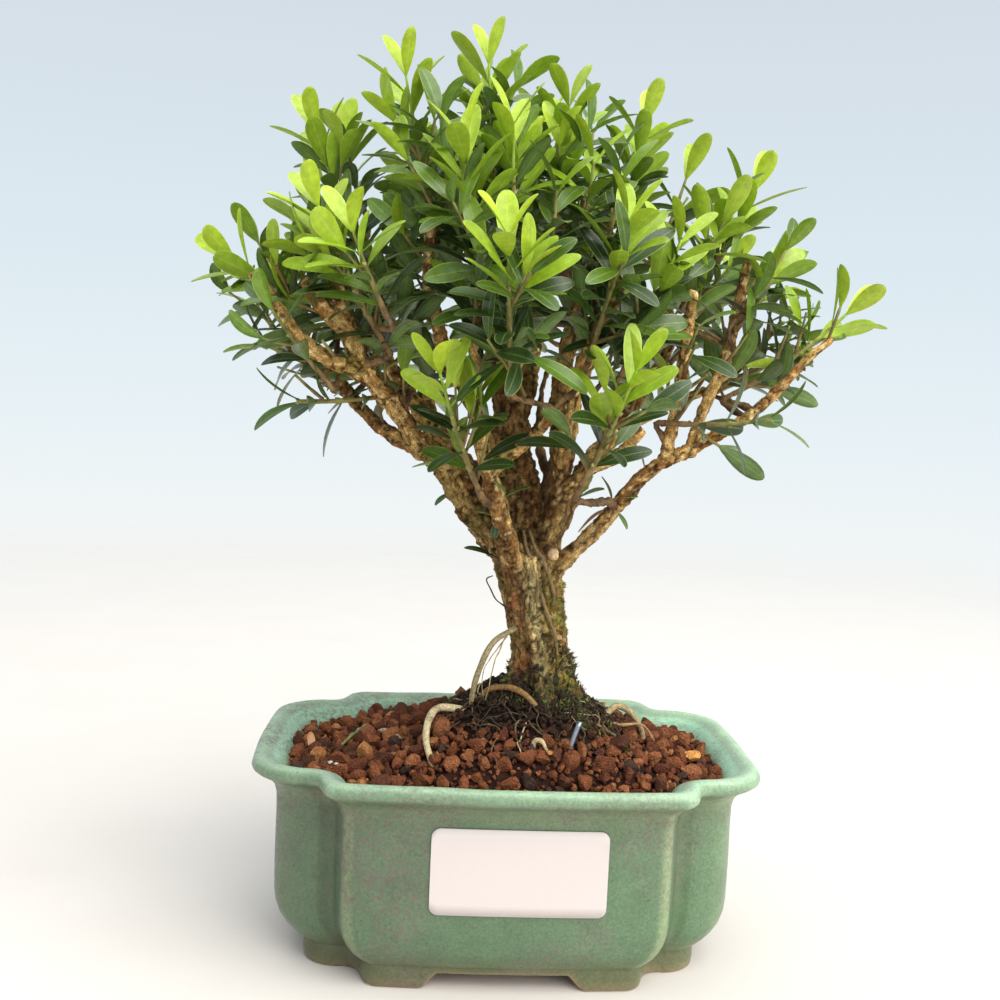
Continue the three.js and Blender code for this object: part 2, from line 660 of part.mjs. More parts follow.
// Where a leaf sits and how it points. Variant picks one of the BENDS.
function leafFrame(stem, s, pair, side, closing, variant) {
  const key = [stem.key, pair, side];
  const look = closing ? { ...LEAVES[stem.kind], ...LEAVES.closing } : LEAVES[stem.kind];
  const [turn, spread] = BENDS[variant];
  const azimuth = 90 * pair + 180 * side + VARIETY.turn * (draw(...key, 1) - 0.5) + turn;
  const angle = look.angle + VARIETY.angle * (draw(...key, 2) - 0.5) + spread;
  const { along, normal } = directionFrom(stem, s, azimuth, angle);
  const size = draw(...key, 3);
  return {
    root: stemPoint(stem, s),
    along,
    normal,
    across: along.clone().cross(normal),
    length: look.length + VARIETY.length * size,
    width: look.width + VARIETY.width * size,
    droop: look.droop,
  };
}

// A point of a leaf: share t of its length, half widths w to the side, height h above its arch.
function leafPoint(leaf, t, w, h = 0) {
  return leaf.root
    .clone()
    .addScaledVector(leaf.along, leaf.length * t)
    .addScaledVector(leaf.across, (leaf.width / 2) * w)
    .addScaledVector(leaf.normal, h - leaf.droop * leaf.length * t * t);
}

// A closed, thin blade, thickest in its middle.
function leafSolid(leaf) {
  const right = BLADE.edge.map(([t, w]) => leafPoint(leaf, t, w));
  const left = BLADE.edge.map(([t, w]) => leafPoint(leaf, t, -w)).reverse();
  const edge = [leafPoint(leaf, 0, 0), ...right, ...left];
  const [top, low] = [BLADE.thick / 2, -BLADE.thick / 2].map((h) => leafPoint(leaf, BLADE.middle, 0, h));
  const count = edge.length;
  const triangles = [];
  for (let i = 0; i < count; i++) {
    const next = (i + 1) % count;
    triangles.push([count, i, next], [count + 1, next, i]);
  }
  return meshSolid([...edge, top, low], triangles);
}

// Points spread over a leaf's blade, close enough together that two crossing leaves have a near pair.
function leafSamples(leaf) {
  const samples = [];
  for (let t = SAMPLES.from; t < 1; t += SAMPLES.step)
    for (const w of SAMPLES.across) samples.push(leafPoint(leaf, t, w));
  return samples;
}

function distanceToPiece(point, { start, end }) {
  const line = end.clone().sub(start);
  const share = THREE.MathUtils.clamp(point.clone().sub(start).dot(line) / line.lengthSq(), 0, 1);
  return point.distanceTo(line.multiplyScalar(share).add(start));
}

const placedLeaves = [];

// Whether a leaf keeps clear of all the wood and of the leaves placed before it.
function isClear(leaf, woody) {
  const samples = leafSamples(leaf);
  const middle = leafPoint(leaf, 0.5, 0);
  const reach = leaf.length / 2 + LEAF_GAP;
  for (const other of placedLeaves) {
    if (other.middle.distanceTo(middle) > reach + other.reach) continue;
    for (const a of samples) for (const b of other.samples) if (a.distanceTo(b) < LEAF_GAP) return false;
  }
  for (const piece of woody) {
    if (distanceToPiece(middle, piece) > reach + piece.radius) continue;
    for (const a of samples) if (distanceToPiece(a, piece) < piece.radius + WOOD_GAP) return false;
  }
  placedLeaves.push({ middle, reach, samples });
  return true;
}

// The first way of setting this leaf that leaves its neighbours clear, or nothing.
function placeLeaf(stem, s, pair, side, closing, woody) {
  for (let variant = 0; variant < BENDS.length; variant++) {
    const leaf = leafFrame(stem, s, pair, side, closing, variant);
    if (isClear(leaf, woody)) return leafSolid(leaf);
  }
  return null;
}

// Opposite leaves at each station, every pair turned a quarter from the one before.
function leavesAlong(stem, pairs, woody) {
  return pairs.flatMap((s, pair) => {
    const closing = s >= OLD_TIP && pair === pairs.length - 1;
    return [0, 1].map((side) => placeLeaf(stem, s, pair, side, closing, woody)).filter(Boolean);
  });
}

// A slim stem from s0 to s1.
function stemSolid(stem, s0, s1, from, to) {
  const rings = [0, 0.5, 1].map((share) => {
    const s = lerp(s0, s1, share);
    const radius = lerp(from, to, share);
    const tangent = stemTangent(stem, s);
    const front = tangent.clone().cross(stem.side);
    return Array.from({ length: STEM.sides }, (_, j) => {
      const angle = (2 * Math.PI * (j + 0.5)) / STEM.sides;
      return stemPoint(stem, s)
        .addScaledVector(stem.side, radius * Math.cos(angle))
        .addScaledVector(front, radius * Math.sin(angle));
    });
  });
  return loft(rings);
}

// Assembly

const limbs = (list, grow) => Object.values(list).map((branch) => limb(branch, grow));
const ends = ENDS.map(twigEnd);
const twigs = ends.map(joinTwig);

function stretchOf(stem, s0, s1) {
  return { stem, start: stemPoint(stem, s0), end: stemPoint(stem, s1), radius: STEM.base };
}

const stemPieces = ends.flatMap(({ old, sprig, young, branches }) => {
  const middle = -SHOOT.oldLength / 2;
  const tip = young ? SHOOT.youngLength : 0;
  return [
    stretchOf(old, -SHOOT.oldLength, middle),
    stretchOf(old, middle, tip),
    stretchOf(sprig, -SPRIG.length, 0),
    ...branches.flatMap(({ stem, bare }) => [
      stretchOf(stem, BRANCH.foot, BRANCH.tip),
      ...piecesOf(bare, 3 * TWIG.steps).map((stretch) => ({ ...stretch, stem })),
    ]),
  ];
});
const woodPieces = [
  ...piecesOf(TRUNK, 2 * TRUNK.points.length),
  ...limbPieces,
  ...twigs.flatMap((t) => piecesOf(t, 3 * TWIG.steps)),
];

// All the wood that the leaves on the given stems keep clear of.
const woodClearOf = (...stems) => [
  ...woodPieces,
  ...stemPieces.filter(({ stem }) => !stems.includes(stem)),
];

function makeTree() {
  const trunk = limb(TRUNK, 0, barkRidges);
  return unionOf([trunk, rootBall(0), ...limbs(LIMBS), ...limbs(ROOTS), ...limbs(twigs)]);
}

function oldFoliage({ old, sprig, young }) {
  const woody = woodClearOf(old, sprig);
  const end = young ? -CLEAR / 2 : 0;
  return [
    stemSolid(old, -SHOOT.oldLength, end, STEM.base, STEM.joint),
    stemSolid(sprig, -SPRIG.length, 0, STEM.joint, STEM.tip),
    ...leavesAlong(old, young ? OLD_PAIRS : [...OLD_PAIRS, OLD_TIP], woody),
    ...leavesAlong(sprig, SPRIG_PAIRS, woody),
  ];
}

function youngShoot({ old, sprig, young }) {
  const stem = stemSolid(young, CLEAR / 2, SHOOT.youngLength, STEM.joint, STEM.tip);
  return [stem, ...leavesAlong(young, YOUNG_PAIRS, woodClearOf(old, sprig))];
}

function branchFoliage({ stem, bare }) {
  return [
    limb(bare),
    stemSolid(stem, BRANCH.foot - BRANCH.overlap, BRANCH.tip, STEM.base, STEM.tip),
    ...leavesAlong(stem, BRANCH_PAIRS, woodClearOf(stem)),
  ];
}

function piece(name, solid, look, position = [0, 0, 0]) {
  const mesh = new THREE.Mesh(geometryOf(solid), new THREE.MeshStandardMaterial(COLOURS[look]));
  mesh.name = name;
  mesh.position.set(...position);
  return mesh;
}

const soilHoles = [rootBall(CLEAR), ...limbs([...Object.values(ROOTS), TIE_WIRE], HOLE_CLEAR)];

const container = new THREE.Group();
const screenHeight = POT.floorTop + CLEAR + SCREEN.thick / 2;
const labelFront = -POT.panelDepth - POT.panelBow - CLEAR;
container.add(
  piece("pot", makePot(), "glaze"),
  piece("drain_screen_left", makeScreen(), "plastic", [-DRAIN.offset, 0, screenHeight]),
  piece("drain_screen_right", makeScreen(), "plastic", [DRAIN.offset, 0, screenHeight]),
  piece("blank_label", makeLabel(), "paper", [LABEL.offset, labelFront, LABEL.middle]),
  piece("soil", makeSoil(soilHoles), "soil"),
  piece("tie_wire_end", limb(TIE_WIRE), "wire"),
);

const plant = new THREE.Group();
plant.add(piece("trunk_and_branches", makeTree(), "bark"));
const foliage = ends.map((end) => ({
  number: String(end.index + 1).padStart(2, "0"),
  old: oldFoliage(end),
  young: end.young ? youngShoot(end) : [],
}));
// The side branches take their leaves last, where the main stems leave room.
foliage.forEach(({ old }, index) => old.push(...ends[index].branches.flatMap(branchFoliage)));
for (const { number, old, young } of foliage) {
  plant.add(piece(`old_foliage_${number}`, unionOf(old), "old"));
  if (young.length > 0) plant.add(piece(`young_shoot_${number}`, unionOf(young), "young"));
}

// The frame's origin is on the surface the pot stands on, under the middle of the whole object.
const bonsai = new THREE.Group();
bonsai.add(container, plant);
const box = new THREE.Box3().setFromObject(bonsai);
const middle = box.getCenter(new THREE.Vector3());
bonsai.position.set(-middle.x, -middle.y, -box.min.z);

export default bonsai;
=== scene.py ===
"""Looks for a boxwood bonsai in a glazed pot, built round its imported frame.

Lengths are in millimetres in the pot's own frame, where z = 0 is under its feet and x = y = 0 is its
middle. SHIFT moves them to the row's frame, and a piece becomes metres when its mesh is made.
"""
import math
from itertools import product

import bmesh
import bpy
import numpy as np
from mathutils import Matrix, Vector
from mathutils.bvhtree import BVHTree
from mathutils.kdtree import KDTree


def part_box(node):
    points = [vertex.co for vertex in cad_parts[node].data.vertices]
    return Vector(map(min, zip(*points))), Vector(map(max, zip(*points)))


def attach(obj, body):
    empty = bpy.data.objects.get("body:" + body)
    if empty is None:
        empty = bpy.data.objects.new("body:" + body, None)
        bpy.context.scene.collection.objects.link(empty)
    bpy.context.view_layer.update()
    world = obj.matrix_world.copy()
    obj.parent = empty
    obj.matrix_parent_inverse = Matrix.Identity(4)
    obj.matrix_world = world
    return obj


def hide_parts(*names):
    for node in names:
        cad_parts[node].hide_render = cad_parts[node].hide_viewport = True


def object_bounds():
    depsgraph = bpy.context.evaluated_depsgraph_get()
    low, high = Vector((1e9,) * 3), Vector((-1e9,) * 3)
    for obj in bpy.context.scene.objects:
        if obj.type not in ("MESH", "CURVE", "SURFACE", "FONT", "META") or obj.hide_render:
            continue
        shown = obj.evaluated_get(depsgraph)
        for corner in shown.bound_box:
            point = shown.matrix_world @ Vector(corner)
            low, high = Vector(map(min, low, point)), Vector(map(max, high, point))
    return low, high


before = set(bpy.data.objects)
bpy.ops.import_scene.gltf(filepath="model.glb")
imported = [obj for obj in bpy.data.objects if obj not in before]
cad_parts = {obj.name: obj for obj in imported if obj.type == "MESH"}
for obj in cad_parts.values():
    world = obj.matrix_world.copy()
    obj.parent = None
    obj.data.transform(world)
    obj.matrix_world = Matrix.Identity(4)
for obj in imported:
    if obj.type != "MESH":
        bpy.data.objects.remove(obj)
cad_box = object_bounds()

MM = 0.001
pot_low, pot_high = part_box("pot")
SHIFT = np.array([(pot_low.x + pot_high.x) / 2, (pot_low.y + pot_high.y) / 2, 0]) / MM
UP = np.array([0.0, 0.0, 1.0])

# Camera

CAMERA = {
    "place": (-24.64, -373.71, 171.41),
    "focal": 1211.27,  # pixels, on a picture 1000 pixels wide
    "pitch": 5.261,  # degrees down
    "yaw": 3.052,  # degrees towards +X
    "roll": 2.593,
}


def make_camera():
    data = bpy.data.cameras.new("camera")
    data.sensor_width = 36
    data.lens = CAMERA["focal"] * 36 / 1000
    data.clip_start = 0.02
    data.clip_end = 50
    pitch, yaw, roll = (math.radians(CAMERA[k]) for k in ("pitch", "yaw", "roll"))
    forward = Vector((math.cos(pitch) * math.sin(yaw), math.cos(pitch) * math.cos(yaw), -math.sin(pitch)))
    level = Vector((math.cos(yaw), -math.sin(yaw), 0))
    upright = level.cross(forward)
    right = level * math.cos(roll) + upright * math.sin(roll)
    top = upright * math.cos(roll) - level * math.sin(roll)
    turn = Matrix((right, top, -forward)).transposed().to_4x4()
    camera = bpy.data.objects.new("camera", data)
    place = Vector((np.array(CAMERA["place"]) + SHIFT) * MM)
    camera.matrix_world = Matrix.Translation(place) @ turn
    bpy.context.scene.collection.objects.link(camera)
    bpy.context.scene.camera = camera


# Numbers and noise


def unit(v):
    v = np.asarray(v, float)
    return v / np.maximum(np.linalg.norm(v, axis=-1, keepdims=True), 1e-12)


def lerp(a, b, t):
    return a + (b - a) * t


def ramp(x, low, high):
    """0 below low, 1 above high, and a smooth step between."""
    t = np.clip((np.asarray(x, float) - low) / (high - low), 0, 1)
    return t * t * (3 - 2 * t)


def rgb(*levels):
    """Linear colour of a picture's 0 to 255 levels."""
    c = np.array(levels, float) / 255
    return np.where(c <= 0.04045, c / 12.92, ((c + 0.055) / 1.055) ** 2.4)


MASK = 0xFFFFFFFF


def draw(*keys):
    """A repeatable draw from 0 to 1 for any list of whole numbers."""
    h = 2166136261
    for key in keys:
        h = ((h ^ key) * 16777619) & MASK
        h = ((h ^ (h >> 15)) * 2246822519) & MASK
    h ^= h >> 13
    return h / 4294967296


def lattice(cells, seed):
    """A repeatable draw from -1 to 1 for each row of whole numbers."""
    x, y, z = (cells[:, i].astype(np.uint64) for i in range(3))
    h = (x * np.uint64(73856093)) ^ (y * np.uint64(19349663)) ^ (z * np.uint64(83492791))
    h ^= np.uint64(seed * 2654435761 % 2**32)
    h = (h * np.uint64(2246822519)) & np.uint64(MASK)
    h ^= h >> np.uint64(15)
    h = (h * np.uint64(3266489917)) & np.uint64(MASK)
    h ^= h >> np.uint64(13)
    return h.astype(float) / 2147483648 - 1


def wobble(points, size, seed=0):
    """Smooth noise from about -1 to 1 whose bumps are this many millimetres across."""
    p = np.asarray(points, float) / np.asarray(size, float) + 1000.5
    cell = np.floor(p).astype(np.int64)
    f = p - cell
    f = f * f * (3 - 2 * f)
    total = np.zeros(len(p))
    for corner in product((0, 1), repeat=3):
        weight = np.prod(np.where(corner, f, 1 - f), axis=1)
        total += weight * lattice(cell + corner, seed)
    return total * 1.4


# Shapes


class Shape:
    """Points in millimetres, faces on them, each point's linear colour and its place on a blade."""

    def __init__(self):
        self.points, self.faces, self.tints, self.marks, self.count = [], [], [], [], 0

    def add(self, points, faces, tint, mark=(0.5, 0.5, 0)):
        points = np.asarray(points, float).reshape(-1, 3)
        self.faces += [[i + self.count for i in face] for face in faces]
        self.points.append(points)
        self.tints.append(np.broadcast_to(tint, points.shape))
        self.marks.append(np.broadcast_to(mark, points.shape))
        self.count += len(points)

    def build(self, name, slot, replaced=(), look=None, crease=None):
        mesh = bpy.data.meshes.new(name)
        mesh.from_pydata(((np.concatenate(self.points) + SHIFT) * MM).tolist(), [], self.faces)
        paint(mesh, np.concatenate(self.tints))
        if slot.endswith("leaf"):
            store(mesh, "blade", np.concatenate(self.marks))
        return place(name, mesh, slot, replaced, look or slot, crease)


def paint(mesh, tints):
    """Gives a mesh its points' colours."""
    levels = np.ones((len(mesh.vertices), 4), np.float32)
    levels[:, :3] = np.clip(tints, 0, 1)
    layer = mesh.color_attributes.new("tint", "FLOAT_COLOR", "POINT")
    layer.data.foreach_set("color", levels.ravel())


def store(mesh, name, rows):
    """Gives a mesh's points three numbers each, for its material."""
    layer = mesh.attributes.new(name, "FLOAT_VECTOR", "POINT")
    layer.data.foreach_set("vector", rows.astype(np.float32).ravel())


def place(name, mesh, slot, replaced=(), look=None, crease=None):
    """Makes a mesh a piece of the part, standing for the given CAD nodes."""
    mesh.materials.append(LOOKS[look or slot])
    mesh.shade_smooth()
    if crease:
        mesh.set_sharp_from_angle(angle=math.radians(crease))
    piece = bpy.data.objects.new(name, mesh)
    bpy.context.scene.collection.objects.link(piece)
    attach(piece, "root")
    if replaced:
        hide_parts(*replaced)
    return piece


def smooth_line(points, count):
    """count + 1 evenly spaced points on the centripetal Catmull-Rom curve through the points."""
    pts = [np.array(p, float) for p in points]
    pts = [2 * pts[0] - pts[1], *pts, 2 * pts[-1] - pts[-2]]
    fine = []
    share = 200 / (len(points) - 1)
    for t in np.arange(201):
        i = min(int(t / share), len(points) - 2)
        w = t / share - i
        p0, p1, p2, p3 = pts[i : i + 4]
        d0, d1, d2 = (np.linalg.norm(b - a) ** 0.5 for a, b in ((p0, p1), (p1, p2), (p2, p3)))
        t1 = ((p1 - p0) / d0 - (p2 - p0) / (d0 + d1) + (p2 - p1) / d1) * d1
        t2 = ((p2 - p1) / d1 - (p3 - p1) / (d1 + d2) + (p3 - p2) / d2) * d1
        bend = -3 * p1 + 3 * p2 - 2 * t1 - t2
        fine.append(p1 + t1 * w + bend * w * w + (2 * p1 - 2 * p2 + t1 + t2) * w**3)
    fine = np.array(fine)
    run = np.concatenate([[0], np.cumsum(np.linalg.norm(np.diff(fine, axis=0), axis=1))])
    wanted = np.linspace(0, run[-1], count + 1)
    return np.stack([np.interp(wanted, run, fine[:, k]) for k in range(3)], axis=1)


def length_of(line):
    return float(np.linalg.norm(np.diff(line, axis=0), axis=1).sum())


def frames_along(line):
    """Tangents along a line, and two directions across it that don't twist."""
    tangents = unit(np.gradient(line, axis=0))
    start = np.cross(tangents[0], UP if abs(tangents[0][2]) < 0.9 else [1.0, 0, 0])
    across = [unit(start)]
    for t in tangents[1:]:
        a = across[-1] - t * np.dot(across[-1], t)
        across.append(unit(a))
    across = np.array(across)
    return tangents, across, np.cross(tangents, across)


def tube(line, radii, sides):
    """A closed tube's points and faces along a line."""
    line = np.asarray(line, float)
    radii = np.broadcast_to(radii, len(line))
    _, a, b = frames_along(line)
    turns = 2 * np.pi * np.arange(sides) / sides
    ring = np.cos(turns)[None, :, None] * a[:, None] + np.sin(turns)[None, :, None] * b[:, None]
    points = (line[:, None] + ring * radii[:, None, None]).reshape(-1, 3)
    count = len(line)
    faces = []
    for i in range(count - 1):
        for j in range(sides):
            k = (j + 1) % sides
            faces.append([i * sides + j, i * sides + k, (i + 1) * sides + k, (i + 1) * sides + j])
    faces.append(list(range(sides))[::-1])
    faces.append([(count - 1) * sides + j for j in range(sides)])
    return points, faces


# Materials


class Look:
    """A material made of nodes round one Principled shader."""

    def __init__(self, name, **constants):
        self.material = bpy.data.materials.new(name)
        self.material.use_nodes = True
        self.tree = self.material.node_tree
        self.shader = self.tree.nodes["Principled BSDF"]
        for key, value in constants.items():
            self.shader.inputs[key.replace("_", " ")].default_value = value
        self.place = self.add("ShaderNodeTexCoord").outputs["Object"]

    def add(self, kind, links=None, **settings):
        node = self.tree.nodes.new(kind)
        for key, value in settings.items():
            setattr(node, key, value)
        for key, value in (links or {}).items():
            socket = node.inputs[key]
            if isinstance(value, bpy.types.NodeSocket):
                self.tree.links.new(value, socket)
            else:
                socket.default_value = value
        return node

    def attribute(self, name, output="Color"):
        return self.add("ShaderNodeAttribute", attribute_name=name).outputs[output]

    def noise(self, size, detail=3.0, roughness=0.55, vector=None):
        """Noise whose bumps are this many millimetres across."""
        links = {"Scale": 1 / (size * MM), "Detail": detail, "Roughness": roughness}
        links["Vector"] = vector or self.place
        return self.add("ShaderNodeTexNoise", links).outputs["Fac"]

    def cells(self, size, feature="F1", vector=None):
        links = {"Scale": 1 / (size * MM), "Vector": vector or self.place}
        return self.add("ShaderNodeTexVoronoi", links, feature=feature).outputs["Distance"]

    def map(self, value, low, high, to_low=0.0, to_high=1.0):
        links = {"Value": value, "From Min": low, "From Max": high}
        links |= {"To Min": to_low, "To Max": to_high}
        return self.add("ShaderNodeMapRange", links).outputs["Result"]

    def math(self, operation, a, b):
        return self.add("ShaderNodeMath", {0: a, 1: b}, operation=operation).outputs[0]

    def mix(self, share, a, b, blend="MIX"):
        node = self.add("ShaderNodeMix", data_type="RGBA", blend_type=blend)
        for name, value in (("Factor", share), ("A", a), ("B", b)):
            socket = next(s for s in node.inputs if s.name == name and s.enabled)
            if isinstance(value, bpy.types.NodeSocket):
                self.tree.links.new(value, socket)
            else:
                socket.default_value = value if name == "Factor" else (*value, 1)
        return next(s for s in node.outputs if s.enabled)

    def bump(self, height, depth, strength=1.0):
        links = {"Height": height, "Distance": depth * MM, "Strength": strength}
        normal = self.add("ShaderNodeBump", links).outputs["Normal"]
        self.tree.links.new(normal, self.shader.inputs["Normal"])

    def set(self, name, socket):
        self.tree.links.new(socket, self.shader.inputs[name])


def leaf_look(name, roughness):
    """A tough, glossy leaf with a pale rib and margin, tinted by its points and mottled by noise."""
    look = Look(name, Specular_IOR_Level=0.5)
    blade = look.add("ShaderNodeSeparateXYZ", {0: look.attribute("blade", "Vector")}).outputs
    tint = look.attribute("tint")
    across = look.math("ABSOLUTE", blade[0], 0.0)
    pale = look.mix(0.6, tint, rgb(214, 222, 120))
    rib = look.map(across, 0.03, 0.1, 0.28, 0.0)
    margin = look.map(across, 0.88, 0.97, 0.0, 0.55)
    slant = look.math("SUBTRACT", look.math("MULTIPLY", blade[1], 75.0), look.math("MULTIPLY", across, 22.0))
    veins = look.math("SINE", slant, 0.0)
    lined = look.mix(look.math("MAXIMUM", rib, margin), tint, pale)
    mottle = look.map(look.noise(2.2), 0.35, 0.7, 0.84, 1.14)
    shade = look.math("MULTIPLY", mottle, look.map(veins, -1.0, 1.0, 0.975, 1.02))
    look.set("Base Color", look.mix(1.0, lined, grey(look, shade), "MULTIPLY"))
    dull = look.math("MULTIPLY", blade[2], 0.4)
    rough = look.map(look.noise(1.5), 0.3, 0.7, roughness - 0.07, roughness + 0.1)
    look.set("Roughness", look.math("ADD", rough, dull))
    look.bump(look.math("ADD", look.noise(0.7, detail=2.0), look.math("MULTIPLY", veins, 0.12)), 0.06)
    return look.material


def grey(look, value):
    return look.add("ShaderNodeCombineColor", {0: value, 1: value, 2: value}).outputs[0]


def bark_look():
    """Corky bark: its points' colours, streaked along the grain, speckled, with fine cracks."""
    look = Look("bark", Specular_IOR_Level=0.2)
    grain = look.attribute("grain", "Vector")
    streaks = look.noise(0.8, 4.0, 0.7, grain)
    specks = look.noise(0.42, 4.0, 0.7)
    crumbs = look.noise(1.1, 3.0, 0.6)
    streaky = look.map(streaks, 0.32, 0.68, 0.5, 1.5)
    shade = look.math("MULTIPLY", streaky, look.map(specks, 0.34, 0.66, 0.45, 1.6))
    shade = look.math("MULTIPLY", shade, look.map(crumbs, 0.3, 0.7, 0.75, 1.2))
    look.set("Base Color", look.mix(1.0, look.attribute("tint"), grey(look, shade), "MULTIPLY"))
    look.set("Roughness", look.map(specks, 0.3, 0.7, 0.8, 1.0))
    look.bump(look.math("ADD", look.math("ADD", streaks, specks), crumbs), 0.6)
    return look.material


def soil_look():
    """Fired clay granules: pitted, dusty and dull."""
    look = Look("soil", Specular_IOR_Level=0.2)
    coarse = look.noise(1.2, 4.0, 0.75)
    pits = look.cells(0.5)
    uneven = look.map(coarse, 0.32, 0.68, 0.55, 1.4)
    shade = look.math("MULTIPLY", uneven, look.map(pits, 0.05, 0.5, 0.7, 1.15))
    look.set("Base Color", look.mix(1.0, look.attribute("tint"), grey(look, shade), "MULTIPLY"))
    look.set("Roughness", look.map(coarse, 0.3, 0.7, 0.75, 1.0))
    look.bump(look.math("ADD", coarse, look.math("MULTIPLY", pits, 0.6)), 0.9)
    return look.material


def glaze_look():
    """Satin celadon glaze over stoneware, with grey-mauve breaks, iron specks and painted side light, darker
    on the left and lighter on the right.
    """
    look = Look("glaze", Specular_IOR_Level=0.5)
    tint = look.attribute("tint")
    clouds = look.noise(24, 5.0, 0.6)
    mist = look.noise(1.7, 5.0, 0.8)
    spot = look.add("ShaderNodeSeparateXYZ", {0: look.place}).outputs
    upward = look.map(spot[2], 0.03, 0.056, -0.04, 0.1)
    lean = look.math("ADD", upward, look.map(spot[0], -0.05, 0.05, 0.08, -0.03))
    lean = look.math("SUBTRACT", lean, look.map(spot[2], 0.0575, 0.061, 0.0, 0.16))
    clouded = look.map(look.math("ADD", clouds, lean), 0.45, 0.63)
    patch = look.math("MULTIPLY", clouded, look.map(mist, 0.43, 0.58))
    mauve = look.mix(look.math("MULTIPLY", patch, 0.7), tint, rgb(114, 100, 92))
    fine = look.map(look.noise(0.9, 4.0, 0.8), 0.32, 0.68, 0.72, 1.24)
    pooled = look.map(look.noise(9, 3.0, 0.6), 0.3, 0.7, 0.88, 1.1)
    # Pools of glaze, darkened towards the left and lightened towards the right as painted side light.
    pools_and_side_light = look.math("MULTIPLY", pooled, look.map(spot[0], -0.06, 0.06, 0.8, 1.22))
    dappled = look.mix(1.0, mauve, grey(look, look.math("MULTIPLY", fine, pools_and_side_light)), "MULTIPLY")
    specks = look.map(look.cells(1.8), 0.07, 0.18, 0.8, 0.0)
    some = look.map(look.noise(5, 2.0), 0.45, 0.56)
    look.set("Base Color", look.mix(look.math("MULTIPLY", specks, some), dappled, rgb(86, 66, 50)))
    look.set("Roughness", look.map(look.math("ADD", mist, patch), 0.3, 1.2, 0.26, 0.5))
    look.bump(look.math("ADD", look.noise(3.5, 2.0), look.math("MULTIPLY", mist, 0.25)), 0.16)
    return look.material


def plain_look(name, size, depth, roughness, low=0.85, high=1.12, **constants):
    """A surface whose points' colours are broken by noise of one size."""
    look = Look(name, **constants)
    rough = look.noise(size, 4.0, 0.6)
    tint = look.attribute("tint")
    shade = grey(look, look.map(rough, 0.3, 0.7, low, high))
    look.set("Base Color", look.mix(1.0, tint, shade, "MULTIPLY"))
    look.set("Roughness", look.map(rough, 0.3, 0.7, roughness - 0.08, roughness + 0.08))
    look.bump(rough, depth)
    return look.material


def screen_look():
    look = Look("screen", Specular_IOR_Level=0.4)
    rough = look.noise(0.8, 3.0)
    look.set("Base Color", look.mix(look.map(rough, 0.3, 0.7), rgb(34, 46, 38), rgb(54, 62, 50)))
    look.set("Roughness", look.map(rough, 0.3, 0.7, 0.5, 0.75))
    look.bump(rough, 0.1)
    return look.material


LOOKS = {
    "old_leaf": leaf_look("old_leaf", 0.32),
    "young_leaf": leaf_look("young_leaf", 0.45),
    "bark": bark_look(),
    "soil": soil_look(),
    "glaze": glaze_look(),
    "paper": plain_look("paper", 0.4, 0.02, 0.5, 0.97, 1.02),
    "root": plain_look("root", 0.8, 0.5, 0.8, 0.5, 1.5),
    "moss": plain_look("moss", 0.8, 0.1, 0.85, 0.7, 1.25),
    "wire": plain_look("wire", 0.6, 0.05, 0.35, 0.7, 1.3, Metallic=0.9),
    "screen": screen_look(),
}

# Pot

POT = {
    "height": 62, "foot": 6, "floor": 11, "wall": 5,
    "panel": 46, "depth": 45, "lobe": 67, "shoulder": 33,
    "slant": 4, "panel_bow": 1.5, "lobe_bow": 2,
}
ROUND = {"panel": 5, "notch": 6, "lobe": 13, "clear": 5}
FOLLOW = {"panel": 0.75, "shoulder": 0.9, "round": 0.5}

# The pot's sections: [height, how far out of the body's plan along X, and along Y, lightness].
OUTSIDE = [
    (6.0, -9.6, -4.2, 0.1), (6.6, -8.6, -3.6, 0.15), (7.8, -7.2, -2.6, 0.1), (9.4, -5.2, -1.6, 0.0),
    (11.5, -3.2, -0.8, 0.0), (14, -1.6, -0.3, 0.0), (17.5, -0.4, 0.0, 0.0), (21, 0, 0, 0.0),
    (28, 0.1, 0.1, 0.0), (36, 0.1, 0.1, 0.0), (44, 0.0, 0.0, 0.0), (50, 0.1, 0.1, 0.05),
    (53, 0.8, 0.9, 0.2), (55, 2.2, 2.5, 0.25), (56.5, 4.0, 4.4, 0.1), (57.6, 5.6, 6.1, 0.2),
    (58.6, 6.6, 7.1, 0.4), (59.8, 6.95, 7.4, 0.35), (60.9, 6.7, 7.1, 0.45), (61.7, 6.0, 6.4, 0.9),
    (62.0, 5.2, 5.6, 1.0), (61.95, 4.2, 4.5, 0.9), (61.5, 2.8, 3.0, 0.6), (61.0, 1.6, 1.8, 0.5),
    (60.3, 0.4, 0.6, 0.5), (59.3, -0.8, -0.7, 0.55), (57.5, -2.2, -2.1, 0.5), (55.5, -3.6, -3.6, 0.4),
    (53, -4.8, -4.8, 0.35), (48, -5.2, -5.2, 0.3), (30, -5.6, -5.6, 0.3), (15, -6, -6, 0.3),
    (12, -7.5, -7, 0.3), (11, -10, -9, 0.3),
]
FOOT = {"out_x": -9.2, "out_y": -3.8, "wall": 5.5, "front_half": 21, "side_half": 13, "slot": 4.6}
DRAIN = {"radius": 6.5, "offset": 28}


def fillet(a, b, c, radius, spacing):
    """Points of the arc that rounds the corner at b."""
    back, on = unit(a - b), unit(c - b)
    half = math.acos(np.clip(back @ on, -1, 1)) / 2
    centre = b + unit(back + on) * radius / math.sin(half)
    start = b + back * radius / math.tan(half) - centre
    end = b + on * radius / math.tan(half) - centre
    sweep = math.atan2(start[0] * end[1] - start[1] * end[0], start @ end)
    steps = max(4, round(abs(sweep) * radius / spacing))
    turns = sweep * np.arange(steps + 1) / steps
    cos, sin = np.cos(turns), np.sin(turns)
    return centre + np.stack([start[0] * cos - start[1] * sin, start[0] * sin + start[1] * cos], 1)


